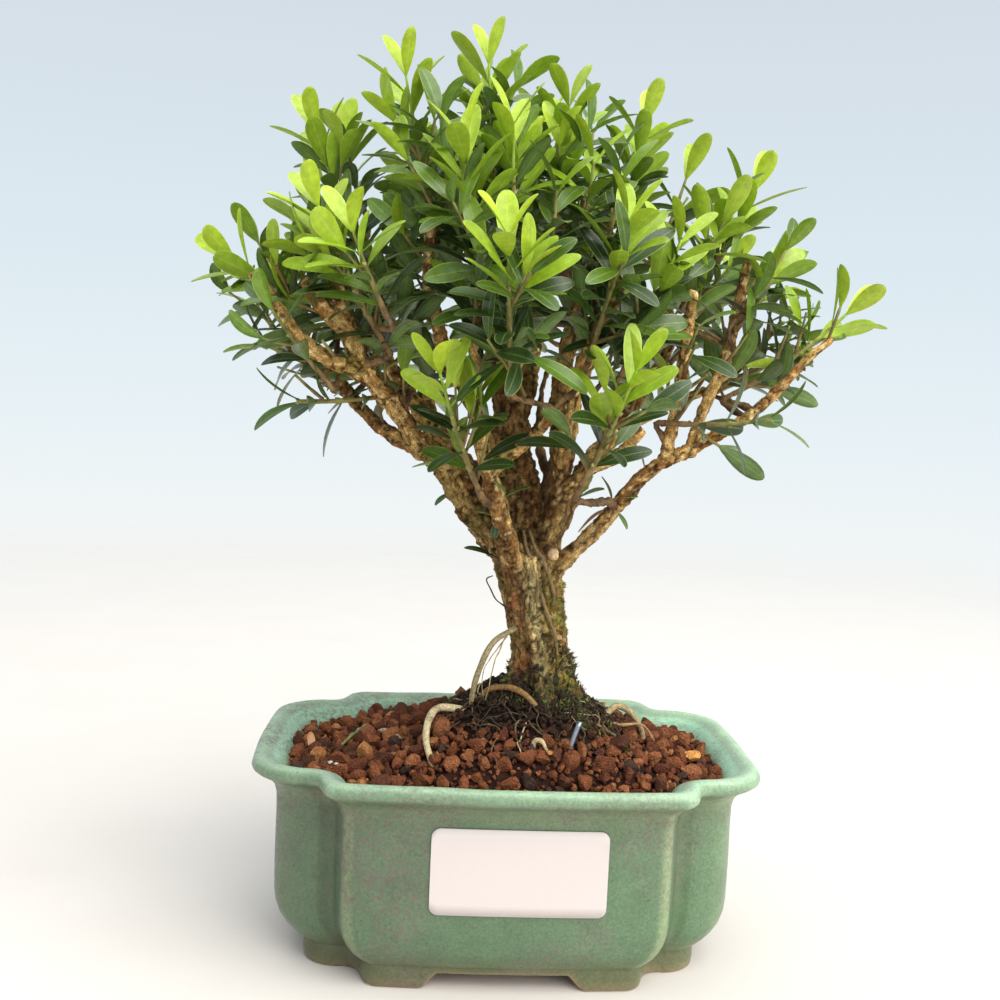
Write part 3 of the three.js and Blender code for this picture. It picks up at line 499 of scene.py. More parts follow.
def quarter_plan(dx, dy, spacing=1.2):
    """The plan from the front's middle to the right side's middle, each stretch with its own count."""
    panel = POT["panel"] + FOLLOW["panel"] * dx
    lobe = POT["lobe"] + dx
    depth = POT["depth"] + dy
    shoulder = POT["shoulder"] + FOLLOW["shoulder"] * dy
    corners = [(0, -depth), (panel, -depth), (panel + POT["slant"], -shoulder), (lobe, -shoulder), (lobe, 0)]
    corners = [np.array(c, float) for c in corners]
    lobe_round = min(ROUND["lobe"] + FOLLOW["round"] * dx, lobe - panel - POT["slant"] - ROUND["clear"])
    arcs = [
        fillet(*corners[0:3], ROUND["panel"], spacing),
        fillet(*corners[1:4], ROUND["notch"], spacing),
        fillet(*corners[2:5], lobe_round, spacing),
    ]
    return corners[0], arcs, corners[4], panel, lobe, shoulder


ARC_STEPS = (8, 9, 14)
FLAT_STEPS = (36, 2, 3, 16)


def plan(dx, dy):
    """The whole plan, counter-clockwise from the front's middle, with as many points at any size."""
    first, arcs, last, panel, lobe, shoulder = quarter_plan(dx, dy, 0.5)
    stops = [np.array([first])] + arcs + [np.array([last])]
    quarter = []
    for k, steps in enumerate(FLAT_STEPS):
        a, b = stops[k][-1], stops[k + 1][0]
        quarter += [lerp(a, b, i / steps) for i in range(steps)]
        if k < len(ARC_STEPS):
            arc = stops[k + 1]
            where = np.linspace(0, len(arc) - 1, ARC_STEPS[k] + 1)
            quarter += [
                np.array([np.interp(w, range(len(arc)), arc[:, i]) for i in range(2)]) for w in where[:-1]
            ]
            stops[k + 1] = arc[-1:]
    quarter.append(last)
    quarter = np.array(quarter)
    x, y = quarter.T.copy()
    front = 1 - (x / panel) ** 2
    side = 1 - (y / shoulder) ** 2
    quarter[:, 1] -= np.where((y < -shoulder - 0.5) & (front > 0), POT["panel_bow"] * front, 0)
    quarter[:, 0] += np.where((x > 0.9 * lobe) & (side > 0), POT["lobe_bow"] * side, 0)
    right = np.concatenate([quarter, (quarter * [1, -1])[-2::-1]])
    return np.concatenate([right, (right * [-1, 1])[-2:0:-1]])


def corner_edges(outline):
    """How sharply the plan turns at each point: above 0 on its outer corners, below in its notches."""
    ahead, behind = np.roll(outline, -3, 0), np.roll(outline, 3, 0)
    a, b = unit(outline - behind), unit(ahead - outline)
    turn = a[:, 0] * b[:, 1] - a[:, 1] * b[:, 0]
    kernel = np.exp(-(np.arange(-4, 5) / 2.2) ** 2)
    padded = np.concatenate([turn[-4:], turn, turn[:4]])
    return np.convolve(padded, kernel / kernel.sum(), "valid")


GLAZE = {
    "body": rgb(90, 115, 85),
    "valley": rgb(74, 98, 66),
    "edge": rgb(152, 164, 118),
    "lip": rgb(158, 186, 152),
    "inside": rgb(146, 188, 156),
    "foot": rgb(88, 96, 64),
    "clay": rgb(168, 142, 106),
}


def make_pot():
    shape = Shape()
    rings, tints = [], []
    edges = corner_edges(plan(0, 0))
    for height, dx, dy, light in OUTSIDE:
        outline = plan(dx, dy)
        ring = np.column_stack([outline, np.full(len(outline), height)])
        ring[:, 2] += 0.12 * wobble(ring, 14, 3) * (height > 20)
        rings.append(ring)
        share = np.clip(light + 4 * np.maximum(edges - 0.29, 0) * (1 - light), 0, 1)[:, None]
        valley = ramp(-edges, 0.03, 0.3)[:, None] * (height < 52)
        low = ramp(-height, -13, -7)
        body = lerp(lerp(GLAZE["body"], GLAZE["valley"], valley), GLAZE["foot"], 0.7 * low)
        target = GLAZE["lip"] if height > 57 else GLAZE["edge"]
        if len(rings) > 24:
            body = target = GLAZE["inside"]
        tints.append(lerp(body, target, share))
    count = len(rings[0])
    faces = []
    for i in range(len(rings) - 1):
        for j in range(count):
            k = (j + 1) % count
            faces.append([i * count + j, i * count + k, (i + 1) * count + k, (i + 1) * count + j])
    shape.add(np.concatenate(rings), faces, np.concatenate(tints))
    add_pot_floor(shape, rings[-1], rings[0])
    add_foot_ring(shape)
    return shape.build("pot_glazed", "glaze", ["pot"])


def add_pot_floor(shape, inner, outer):
    """The floor's two faces and the walls of its drain holes."""
    mesh = bmesh.new()
    loops = []
    for ring in (inner, outer):
        level = ring[0][2] if ring is inner else POT["foot"]
        verts = [mesh.verts.new((p[0], p[1], level)) for p in ring]
        edges = [mesh.edges.new((verts[i], verts[(i + 1) % len(verts)])) for i in range(len(verts))]
        holes = []
        for x in (-DRAIN["offset"], DRAIN["offset"]):
            turns = 2 * np.pi * np.arange(32) / 32
            hole = [
                mesh.verts.new((x + DRAIN["radius"] * math.cos(t), DRAIN["radius"] * math.sin(t), level))
                for t in turns
            ]
            edges += [mesh.edges.new((hole[i], hole[(i + 1) % 32])) for i in range(32)]
            holes.append(hole)
        bmesh.ops.triangle_fill(mesh, use_beauty=True, use_dissolve=False, edges=edges)
        loops.append(holes)
    for top, low in zip(*loops):
        for i in range(32):
            k = (i + 1) % 32
            mesh.faces.new((top[i], top[k], low[k], low[i]))
    bmesh.ops.recalc_face_normals(mesh, faces=mesh.faces)
    mesh.verts.index_update()
    points = np.array([v.co for v in mesh.verts])
    tint = np.where(points[:, 2:] > POT["foot"] + 1, GLAZE["inside"], GLAZE["clay"])
    shape.add(points, [[v.index for v in f.verts] for f in mesh.faces], tint)
    mesh.free()


def add_foot_ring(shape):
    """The low ring under the body, cut by a slot in the middle of each side into four feet."""
    top = POT["foot"] + 1.2
    outer = plan(FOOT["out_x"], FOOT["out_y"])
    inner = plan(FOOT["out_x"] - FOOT["wall"], FOOT["out_y"] - FOOT["wall"])
    flare = plan(FOOT["out_x"] - 1.2, FOOT["out_y"] - 1.0)
    x, y = np.abs(outer[:, 0]), np.abs(outer[:, 1])
    along = np.where(y > POT["shoulder"] - 2, FOOT["front_half"] - x, FOOT["side_half"] - y)
    low = FOOT["slot"] * ramp(along, -3.2, 2.4)
    shown = [
        (outer, np.full(len(outer), top), 0.0),
        (outer * [1.004, 1.006], lerp(low, top, 0.45), 0.05),
        (outer, low + 0.5, 0.4),
        (outer * [0.994, 0.992], low + 0.1, 1.0),
        (flare, low, 1.0),
        (inner * [1.006, 1.008], low, 1.0),
        (inner, low + 0.5, 1.0),
        (inner, np.full(len(outer), top), 1.0),
    ]
    points = np.concatenate([np.column_stack([o, z]) for o, z, _ in shown])
    tints = np.concatenate(
        [np.broadcast_to(lerp(GLAZE["foot"], GLAZE["clay"], s), (len(outer), 3)) for *_, s in shown]
    )
    count = len(outer)
    faces = []
    for i in range(len(shown) - 1):
        for j in range(count):
            k = (j + 1) % count
            faces.append([i * count + j, (i + 1) * count + j, (i + 1) * count + k, i * count + k])
    shape.add(points, faces, tints)


LABEL = {"width": 50, "height": 25, "thick": 0.28, "round": 2.5, "middle": 36.5, "offset": 3}


def make_label():
    """A blank paper label that follows the front panel's bow, with softly rounded corners."""
    w, h, r = LABEL["width"] / 2, LABEL["height"] / 2, LABEL["round"]
    corner = -w + r * (1 - np.cos(np.linspace(0, np.pi / 2, 7)))
    columns = np.concatenate([corner, np.linspace(-w + r, w - r, 25)[1:-1]])
    columns = np.unique(np.round(np.concatenate([columns, -columns]), 5))
    rounded = h - r + np.sqrt(np.maximum(r * r - (np.abs(columns) - w + r) ** 2, 0))
    tall = np.maximum(np.where(np.abs(columns) > w - r, rounded, h), h - r)
    rows = np.linspace(-1, 1, 9)
    shape = Shape()
    layers = []
    for lift in (0.3, 0.3 + LABEL["thick"]):
        grid = []
        for row in rows:
            x = LABEL["offset"] + columns
            bow = POT["panel_bow"] * (1 - (x / POT["panel"]) ** 2)
            z = LABEL["middle"] + row * tall
            lifted = lift + 0.25 * ramp(np.abs(columns) - w, -3, 0) * ramp(row, 0.6, 1)
            grid.append(np.column_stack([x, -POT["depth"] - bow - lifted, z]))
        layers.append(np.concatenate(grid))
    across, high = len(columns), len(rows)
    faces = []
    for i in range(high - 1):
        for j in range(across - 1):
            a = i * across + j
            quad = [a, a + 1, a + 1 + across, a + across]
            faces.append([q + across * high for q in quad])
            faces.append(quad[::-1])
    rim = list(range(across)) + [i * across + across - 1 for i in range(1, high)]
    rim += [(high - 1) * across + j for j in range(across - 2, -1, -1)]
    rim += [i * across for i in range(high - 2, 0, -1)]
    for n, a in enumerate(rim):
        b = rim[(n + 1) % len(rim)]
        faces.append([a, b, b + across * high, a + across * high])
    shape.add(np.concatenate(layers), faces, rgb(210, 199, 195))
    return shape.build("label_paper", "paper", ["blank_label"])


# Wood

TRUNK_X = 10
TRUNK = {
    "points": [(TRUNK_X, 0, 78), (10, 0, 88), (9.2, 0, 95), (7.2, 0, 102), (6, 0, 112), (4.5, 0, 124)],
    "girth": [(62, 9.8), (76, 9.4), (86, 8.9), (99, 9.0), (107, 9.6), (121, 10.6)],
}

# Limbs as centre lines, from the fork outwards, and their two end radii.
LIMBS = {
    "core": (
        [
            (5, 2, 112), (1, 3, 143), (-2, 4, 159), (-4, 5, 174), (-5, 6, 190), (-5, 6, 208),
            (-7, 4, 226), (-11, 0, 240),
        ],
        7.6, 1.5,
    ),
    "left": ([(3, -1, 112), (-4, -5, 124), (-12, -8, 133), (-24, -12, 150), (-30, -13, 155)], 5.6, 3.4),
    "left_up": (
        [(-28, -13, 151), (-38, -15, 165), (-47, -17, 175), (-53, -19, 189), (-59, -24, 210)],
        3.2, 1.4,
    ),
    "left_stub": ([(-53, -19, 187), (-58, -22, 191), (-64, -26, 199)], 2.2, 1.6),
    "left_low": ([(-28, -13, 152), (-37, -10, 155), (-50, -4, 165), (-56, -2, 172), (-63, 0, 176)], 2.5, 1.3),
    "left_out": (
        [(-46, -17, 173), (-53, -20, 176), (-63, -22, 181), (-73, -20, 193), (-80, -16, 201)],
        2.3, 1.2,
    ),
    "front": (
        [(3, -5, 112), (-2, -11, 124), (-7, -16, 139), (-12, -22, 155), (-14, -28, 170), (-16, -32, 186)],
        4.6, 1.3,
    ),
    "front_right": ([(-9, -18, 146), (-3, -25, 153), (3, -32, 159), (7, -42, 166)], 1.9, 1.2),
    "inner_left": (
        [(-3, -2, 146), (-17, -10, 170), (-23, -14, 180), (-29, -25, 202), (-29, -36, 220)],
        2.8, 1.3,
    ),
    "right": (
        [
            (8, -3, 112), (15, -5, 119), (25, -7, 130), (39, -11, 148), (52, -12, 156),
            (71, -10, 168), (86, -8, 184), (94, -7, 191),
        ],
        3.6, 1.2,
    ),
    "right_rise": ([(44, -11, 152), (45, -18, 168), (45, -24, 178), (45, -34, 201)], 1.9, 1.2),
    "right_far": ([(51, -12, 154), (55, -10, 168), (61, -8, 182), (67, -5, 214)], 1.8, 1.2),
    "right_up": ([(6, -2, 116), (13, -5, 137), (14, -9, 158), (18, -16, 181), (26, -36, 205)], 4.4, 1.4),
    "right_top": ([(13, -6, 150), (13, 3, 175), (16, 3, 193), (22, -1, 212), (23, -5, 226)], 3.2, 1.3),
    "right_low": ([(12, -6, 138), (20, -13, 148), (28, -18, 153), (33, -30, 161)], 2.6, 1.3),
    "back_left": ([(2, 3, 112), (-11, 17, 139), (-27, 27, 158), (-42, 36, 178), (-51, 38, 196)], 5, 1.3),
    "back_middle": ([(-24, 25, 154), (-29, 41, 168), (-26, 54, 186)], 2.4, 1.2),
    "back_right": ([(7, 3, 112), (22, 16, 144), (38, 28, 165), (50, 34, 184), (56, 36, 198)], 4.6, 1.3),
    "back_out": ([(35, 25, 161), (50, 25, 168), (63, 24, 174)], 2.2, 1.2),
    "back_rise": ([(-1, 4, 156), (4, 18, 175), (6, 34, 193), (3, 46, 208)], 3, 1.3),
    "top_back": ([(-5, 6, 192), (-11, 16, 211), (-15, 24, 230)], 2.4, 1.2),
}
BUTTRESSES = {
    "left_root": ([(7, -2, 86), (1, -6, 79), (-6, -10, 70)], 3.6, 2.0),
    "right_root": ([(13, 0, 86), (20, -3, 78), (26, -6, 69)], 3.6, 2.0),
    "front_root": ([(10, -4, 85), (11, -11, 77), (13, -19, 67)], 3.2, 1.8),
    "back_root": ([(9, 4, 86), (6, 12, 78), (3, 20, 68)], 3.6, 2.0),
    "back_right_root": ([(13, 4, 86), (19, 9, 78), (25, 14, 69)], 3.2, 1.8),
}

# The trunk's flutes: [turn at the soil, turn at the fork, radius, wave, height of a pinch], degrees.
FLUTES = [
    (-168, -178, 3.6, 1, 90), (-135, -146, 4.0, 2, 112), (-100, -112, 3.1, 3, 84), (-70, -84, 2.7, 4, 108),
    (-30, -44, 4.1, 5, 102), (12, -2, 3.8, 6, 104), (53, 38, 3.6, 7, 92), (98, 84, 4.0, 8, 108),
    (144, 130, 3.8, 9, 98),
]
VOXEL = 0.62


def limb_line(points, spacing=1.5):
    count = 4 * len(points)
    return smooth_line(points, max(count, round(length_of(smooth_line(points, count)) / spacing)))


def trunk_middle(z):
    points = np.array(TRUNK["points"])
    return np.stack([np.interp(z, points[:, 2], points[:, k]) for k in (0, 1)], axis=-1)


def flute_line(low_turn, high_turn, radius, wave, pinch):
    """One rounded ridge that runs up the trunk, with a narrow neck somewhere along it."""
    z = np.linspace(62, 121, 40)
    share = (z - 62) / 59
    turn = np.radians(lerp(low_turn, high_turn, share) + 5 * np.sin(share * 7 + wave))
    neck = np.exp(-(((z - pinch) / 4.5) ** 2))
    girth = np.interp(z, *np.array(TRUNK["girth"]).T)
    radii = radius * (1 + 0.13 * np.sin(share * 11 + 3 * wave) - 0.1 * share - 0.3 * neck)
    reach = girth - 0.96 * radii - 0.9 * neck + 0.35 * np.sin(share * 13 + 2 * wave)
    middle = trunk_middle(z)
    line = np.column_stack([middle[:, 0] + reach * np.cos(turn), middle[:, 1] + reach * np.sin(turn), z])
    return line, radii


# Limbs that the finished bark keeps slimmer than their solids.
SLIM = {"front": 0.78, "right": 0.76, "right_up": 0.9, "back_right": 0.9}


def wood_lines():
    """Every thick piece of wood as (line, radii)."""
    trunk = [(TRUNK_X, 0, 56), (TRUNK_X, 0, 68), *TRUNK["points"]]
    line = limb_line(trunk)
    lines = [(line, np.interp(line[:, 2], [56, 70, 80, 112, 124], [10, 8.4, 6.4, 6.4, 6.2]))]
    lines += [flute_line(*flute) for flute in FLUTES]
    for n, (name, (points, start, end)) in enumerate((LIMBS | BUTTRESSES).items()):
        line = limb_line(points)
        share = np.linspace(0, 1, len(line))
        run = np.column_stack([share * length_of(line), 0 * share, 0 * share])
        knobs = 1 + 0.1 * wobble(run, 7, n) + 0.1 * wobble(run, 2.6, n + 50)
        lines.append((line, lerp(start, end, share) * knobs * SLIM.get(name, 1) + 0.1))
    return lines


def remesh(shape, voxel):
    """One closed skin round overlapping solids, as a new mesh."""
    mesh = bpy.data.meshes.new("rough")
    mesh.from_pydata(((np.concatenate(shape.points) + SHIFT) * MM).tolist(), [], shape.faces)
    rough = bpy.data.objects.new("rough", mesh)
    bpy.context.scene.collection.objects.link(rough)
    skin = rough.modifiers.new("skin", "REMESH")
    skin.mode = "VOXEL"
    skin.voxel_size = voxel * MM
    soften = rough.modifiers.new("soften", "SMOOTH")
    soften.factor = 0.5
    soften.iterations = 3
    done = bpy.data.meshes.new_from_object(rough.evaluated_get(bpy.context.evaluated_depsgraph_get()))
    bpy.data.objects.remove(rough)
    return done


def points_of(mesh):
    co = np.empty(len(mesh.vertices) * 3, np.float32)
    mesh.vertices.foreach_get("co", co)
    return co.reshape(-1, 3).astype(float) / MM - SHIFT


def normals_of(mesh):
    co = np.empty(len(mesh.vertices) * 3, np.float32)
    mesh.vertices.foreach_get("normal", co)
    return co.reshape(-1, 3).astype(float)


def grain_of(points, lines):
    """For each point: its place in the frame of the nearest limb, and that limb's radius."""
    samples = []
    for n, (line, radii) in enumerate(lines):
        tangents, a, b = frames_along(line)
        run = np.concatenate([[0], np.cumsum(np.linalg.norm(np.diff(line, axis=0), axis=1))])
        samples.append(np.column_stack([line, a, b, tangents, radii, run + 37 * n]))
    samples = np.concatenate(samples)
    tree = KDTree(len(samples))
    for i, sample in enumerate(samples):
        tree.insert(sample[:3], i)
    tree.balance()
    best = np.empty(len(points), int)
    for i, p in enumerate(points):
        found = tree.find_n(p, 5)
        best[i] = min(found, key=lambda f: f[2] - samples[f[1], 12])[1]
    near = samples[best]
    away = points - near[:, :3]
    along = (away * near[:, 9:12]).sum(1)
    grain = np.column_stack([(away * near[:, 3:6]).sum(1), (away * near[:, 6:9]).sum(1), near[:, 13] + along])
    return grain, near[:, 12]


BARK = {
    "tan": rgb(200, 168, 108), "pale": rgb(232, 206, 152), "warm": rgb(152, 112, 66), "dark": rgb(44, 30, 18),
    "grey": rgb(206, 196, 142), "olive": rgb(150, 138, 66), "red": rgb(172, 112, 70),
    "moss": rgb(150, 146, 52),
}


def turn_about_trunk(points):
    """Degrees round the trunk: -90 faces the label's side, and 0 is to the right."""
    middle = trunk_middle(points[:, 2])
    return np.degrees(np.arctan2(points[:, 1] - middle[:, 1], points[:, 0] - middle[:, 0]))


def band(turn, centre, width):
    return np.exp(-(((turn - centre + 180) % 360 - 180) / width) ** 2)


def moss_share(points):
    """1 where a coat of moss covers the trunk, and 0 on bare bark."""
    turn = turn_about_trunk(points)
    sides = np.maximum(band(turn, -22, 34), 0.7 * band(turn, 120, 45))
    patches = ramp(wobble(points, 5, 8) + 0.5 * wobble(points, 2, 13), -0.35, 0.3)
    return sides * patches * ramp(-points[:, 2], -116, -108) * ramp(-np.abs(points[:, 0] - TRUNK_X), -16, -12)


# What the bark's colours are multiplied by on the trunk, up on the limbs and at the left limb's foot.
LOW_CAST = np.array((0.84, 0.78, 0.72))
HIGH_CAST = np.array((0.96, 0.85, 0.72))
SHADE_CAST = np.array((0.6, 0.6, 0.55))
# The left limb's shaded foot: its middle height and spread, and the line that the limb leans along.
SHADE = {"height": 136, "spread": 22, "lean": 0.6, "from": 133}


def bark_tints(points, grain, groove, moss):
    """Colours for bark: corky tan plates over cracks that are dark partly in their own colour and partly as
    painted shade, with lichen and algae low on the trunk; painted shade between the trunk's strands, inside
    the crown and at the left limb's foot, and painted light on the limbs that face the front.
    """
    turn = turn_about_trunk(points)
    low = ramp(-points[:, 2], -124, -112)
    patch = wobble(points, 9, 5)
    warmth = ramp(wobble(grain, (3, 3, 9), 6) + patch * 0.4, -0.3, 0.7)
    tint = lerp(BARK["tan"], BARK["warm"], warmth[:, None])
    tint = lerp(tint, BARK["pale"], (0.8 * ramp(wobble(points, 1.5, 7), 0.2, 0.7))[:, None])
    tint = lerp(tint, BARK["olive"], (0.5 * ramp(-patch, 0.2, 0.9))[:, None])
    rusty = ramp(wobble(points, (2, 2, 5), 32), -0.4, 0.4)
    tint = lerp(tint, BARK["red"] * 0.7, ((0.45 + 0.5 * rusty) * low * band(turn, -130, 26))[:, None])
    tint = lerp(tint, BARK["grey"], (0.8 * low * band(turn, -90, 15))[:, None])
    tint = lerp(tint, BARK["olive"], (0.6 * low * band(turn, -58, 22))[:, None])
    # Painted shade: two dark lines in the crevices on either side of the grey ridge low on the trunk.
    between = np.maximum(band(turn, -110, 5), band(turn, -70, 4)) * low
    between = between * ramp(wobble(grain, (4, 4, 12), 33), -0.8, 0.2)
    tint = lerp(tint, BARK["dark"], (0.75 * between)[:, None])
    # Painted light: the wood above the fork that faces the front is made up to 30 % lighter.
    tint = tint * (1 + 0.3 * ramp(-points[:, 1], 8, 16) * ramp(points[:, 2], 112, 124))[:, None]
    # Painted shade: the wood inside the crown, round its middle above the fork, is darkened.
    inner = ramp(-np.linalg.norm((points - [2, 6, 146]) / [1.2, 1, 1.6], axis=1), -26, -10)
    tint = lerp(tint, BARK["warm"] * 0.4, (0.7 * inner)[:, None])
    foot = ramp(-points[:, 2], -90, -80)
    tint = lerp(tint, BARK["warm"] * 0.3, (0.75 * foot)[:, None])
    # The cracks are darkened, partly in their own colour and partly as painted shade.
    tint = lerp(tint, BARK["dark"], (0.9 * groove)[:, None])
    leafy = lerp(BARK["moss"], BARK["olive"] * 0.6, ramp(wobble(points, 1.5, 14), -0.3, 0.8)[:, None])
    tint = lerp(tint, leafy, (0.9 * moss)[:, None])
    ruddy = lerp(LOW_CAST, HIGH_CAST, ramp(points[:, 2], 122, 165)[:, None])
    leftward = -points[:, 0] - SHADE["lean"] * (points[:, 2] - SHADE["from"])
    shaded = ramp(leftward, 5, 10) * band(points[:, 2], SHADE["height"], SHADE["spread"])
    tint = lerp(tint, tint * SHADE_CAST, shaded[:, None])
    return tint * ruddy * (0.95 + 0.4 * wobble(points, 1.3, 9))[:, None]


def make_wood():
    """The trunk, limbs and buttresses as one skin with furrowed bark. Returns its points for the moss."""
    lines = wood_lines()
    shape = Shape()
    for line, radii in lines:
        shape.add(*tube(line, radii, 14 if radii.max() > 3 else 10), 0)
    mesh = remesh(shape, VOXEL)
    points, normals = points_of(mesh), normals_of(mesh)
    grain, radius = grain_of(points, lines)
    strength = np.clip(radius / 4.5, 0.3, 1)
    crack = wobble(grain, (2.1, 2.1, 8), 1) + 0.45 * wobble(points, 1.3, 2)
    groove = np.exp(-((crack / 0.2) ** 2))
    cross = np.exp(-((wobble(grain, (3, 3, 2.6), 3) / 0.12) ** 2)) * 0.6
    groove = np.maximum(groove, cross * ramp(radius, 1.5, 4))
    moss = moss_share(points)
    lift = 0.3 - 0.85 * groove * strength * (1 - moss) + 0.5 * strength * wobble(points, 2.6, 4)
    lift += 0.34 * wobble(points, 1.15, 10) * np.clip(strength + 0.2, 0, 1)
    lift += 0.5 * strength * wobble(grain, (4, 4, 14), 11)
    lift += moss * (1.1 + 0.5 * wobble(points, 3.2, 12))
    points = points + normals * lift[:, None]
    mesh.vertices.foreach_set("co", (((points + SHIFT) * MM).astype(np.float32)).ravel())
    paint(mesh, bark_tints(points, grain, groove, moss))
    store(mesh, "grain", grain * [1, 1, 0.3] * MM)
    mesh.update()
    place("trunk_and_limbs", mesh, "bark", ["trunk_and_branches"])
    return points, normals, moss


# Leafy stems: the same rule as the solids follow, so that each piece lies on what it replaces

CROWN_HUB = np.array([2.0, 0, 125])
SHOOT = {"lift": 0.35, "curve": 0.004, "old": 30, "young": 14}
SPRIG = {
    "at": -24, "spread": 50, "length": 13, "first": -50, "vary": 40,
    "turns": (0, 60, -60, 120, -120, 180),
}
TWIG = {"thick": 1.8, "thin": 1.0, "straight": 3, "sweep": 0.4, "share": 0.85, "clear": 0.3}
JOIN = {"rise": 8, "climb": 1.2}
LEAVES = {
    "old": {"angle": 58, "length": 15, "width": 5, "droop": 0.12},
    "young": {"angle": 42, "length": 15.5, "width": 5.6, "droop": 0.05},
}
CLOSING = {"angle": 26, "length": 13}
VARIETY = {"turn": 36, "angle": 18, "length": 3, "width": 1.2}
BENDS = [(0, 0), (20, 0), (-20, 0), (0, -16), (0, 16), (36, -8), (-36, -8)]
OLD_PAIRS, OLD_TIP, SPRIG_PAIRS, YOUNG_PAIRS = [-21, -13, -5.5], -1, [-1], [3, 8, 13]
ENDS = [
    (-13, -7, 252, 1), (-35, -17, 245, 1), (-19, -44, 222, 1), (-7, -36, 229, 1), (9, -12, 240, 1),
    (32, 2, 240, 1), (21, -46, 204, 1), (35, -38, 200, 1), (62, -5, 221, 1), (82, 8, 196, 0),
    (88, -5, 189, 1, 0.1), (23, -52, 166, 1, 0.5), (-8, -59, 197, 1, 0.5), (-21, -42, 163, 1, 0.45),
    (-59, -7, 231, 1), (-54, -33, 206, 1), (-75, -9, 198, 1, -0.25), (-77, -2, 181, 0, -0.3),
    (70, -30, 166, 0, -0.3), (-66, -14, 165, 0, -0.5), (-62, 36, 206, 1), (-84, 20, 194, 0),
    (-40, 66, 200, 0), (-32, 34, 232, 1), (-2, 62, 214, 0), (6, 32, 244, 1), (36, 46, 226, 0),
    (40, 66, 196, 0), (66, 42, 204, 1), (88, 30, 186, 0, 0),
]

# Side branches: the number of the parent's node, the place that its leaves are set out from, and
# whether its end is new and lime.
BRANCH = {"at": -26, "foot": -16, "overlap": 1.5, "tip": 8.5}
BRANCH_PAIRS = [-9.5, -1.5, 7.5]
BRANCHES = [
    (5, 15, -27, 227, 1), (16, -46, -47, 203, 1), (11, 72, -14, 209, 0), (15, -56, 10, 239, 1),
    (17, -68, -25, 184, 0), (6, 48, 14, 232, 1), (6, 20, 20, 246, 0), (26, -12, 16, 250, 1),
    (9, 52, -22, 214, 1), (4, 4, -44, 216, 0), (21, -62, 14, 216, 0), (27, 18, 50, 226, 1),
    (24, -22, 52, 224, 1), (10, 78, 22, 204, 1), (22, -78, 8, 206, 0), (28, 56, 56, 190, 0),
    (23, -56, 54, 192, 1), (25, 22, 64, 204, 1), (2, -26, -30, 236, 0), (7, 22, -32, 222, 0),
]


def make_stem(key, joint, axis, sideways, kind):
    """A slightly arching stem through its joint: distance s along it is 0 at the joint."""
    side = unit(sideways - axis * np.dot(sideways, axis))
    front = np.cross(axis, side)
    return {"key": key, "joint": joint, "axis": axis, "side": side, "front": front, "kind": kind}


def stem_point(stem, s):
    return stem["joint"] + stem["axis"] * s + UP * SHOOT["curve"] * s * s


def stem_tangent(stem, s):
    return unit(stem["axis"] + UP * 2 * SHOOT["curve"] * s)


def direction_from(stem, s, turn, spread):
    """The direction that leaves a stem at s, turned about it and spread from it by degrees."""
    tangent = stem_tangent(stem, s)
    turn, spread = math.radians(turn), math.radians(spread)
    out = stem["side"] * math.cos(turn) + stem["front"] * math.sin(turn)
    out = unit(out - tangent * np.dot(out, tangent))
    along = tangent * math.cos(spread) + out * math.sin(spread)
    return along, tangent * math.sin(spread) - out * math.cos(spread)


def leaf_frame(stem, s, pair, side, closing, bend):
    """Where a leaf sits and how it points."""
    key = (stem["key"], pair, side)
    look = LEAVES[stem["kind"]] | (CLOSING if closing else {})
    turn, spread = bend
    azimuth = 90 * pair + 180 * side + VARIETY["turn"] * (draw(*key, 1) - 0.5) + turn
    angle = look["angle"] + VARIETY["angle"] * (draw(*key, 2) - 0.5) + spread
    along, normal = direction_from(stem, s, azimuth, angle)
    size = draw(*key, 3)
    return {
        "root": stem_point(stem, s), "along": along, "normal": normal, "across": np.cross(along, normal),
        "length": look["length"] + VARIETY["length"] * size,
        "width": look["width"] + VARIETY["width"] * size,
        "droop": look["droop"], "roll": draw(*key, 4), "age": draw(*key, 5),
    }


def leaf_point(leaf, t, w):
    return (
        leaf["root"] + leaf["along"] * leaf["length"] * t + leaf["across"] * leaf["width"] / 2 * w
        - leaf["normal"] * leaf["droop"] * leaf["length"] * t * t
    )


def node_tree(node):
    """A search tree of a CAD node's points, in millimetres in the pot's frame."""
    points = points_of(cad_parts[node].data)
    tree = KDTree(len(points))
    for i, p in enumerate(points):
        tree.insert(p, i)
    tree.balance()
    return tree


def has_point(tree, point, near=0.06):
    return tree.find(point)[2] < near


def cad_leaf(stem, s, pair, side, closing, tree):
    """The leaf as the solid has it: the first bend whose blade's tip is among the node's points."""
    for bend in BENDS:
        leaf = leaf_frame(stem, s, pair, side, closing, bend)
        if has_point(tree, leaf_point(leaf, 0.98, 0.5)) or has_point(tree, leaf_point(leaf, 0.98, -0.5)):
            return leaf
    return None


def outward_stem(key, joint, lift):
    """A stem that points away from the crown's hub, lifted towards the light."""
    joint = np.array(joint, float)
    away = unit(joint - CROWN_HUB)
    return make_stem(key, joint, unit(away + UP * lift), np.cross(UP, away), "old")


def cad_sprig(old, tree):
    """The side stem as the solid has it, and its tip's place in the node."""
    first = 180 * (old["key"] % 2) + SPRIG["first"] + SPRIG["vary"] * draw(old["key"], 21)
    start = stem_point(old, SPRIG["at"])
    for turn in SPRIG["turns"]:
        along, _ = direction_from(old, SPRIG["at"], first + turn, SPRIG["spread"])
        tip = start + along * SPRIG["length"]
        if tree is None or tree.find(tip)[2] < 0.62:
            return make_stem(old["key"] + len(ENDS), tip, along, old["side"], "old")
    return None


def limb_pieces():
    pieces = []
    for points, start, end in LIMBS.values():
        count = 4 * len(points)
        line = smooth_line(points, count)
        for i in range(count):
            radius = lerp(start, end, (i + 0.5) / count)
            pieces.append((line[i + 1], unit(line[i + 1] - line[i]), radius))
    return pieces


PIECES = limb_pieces()


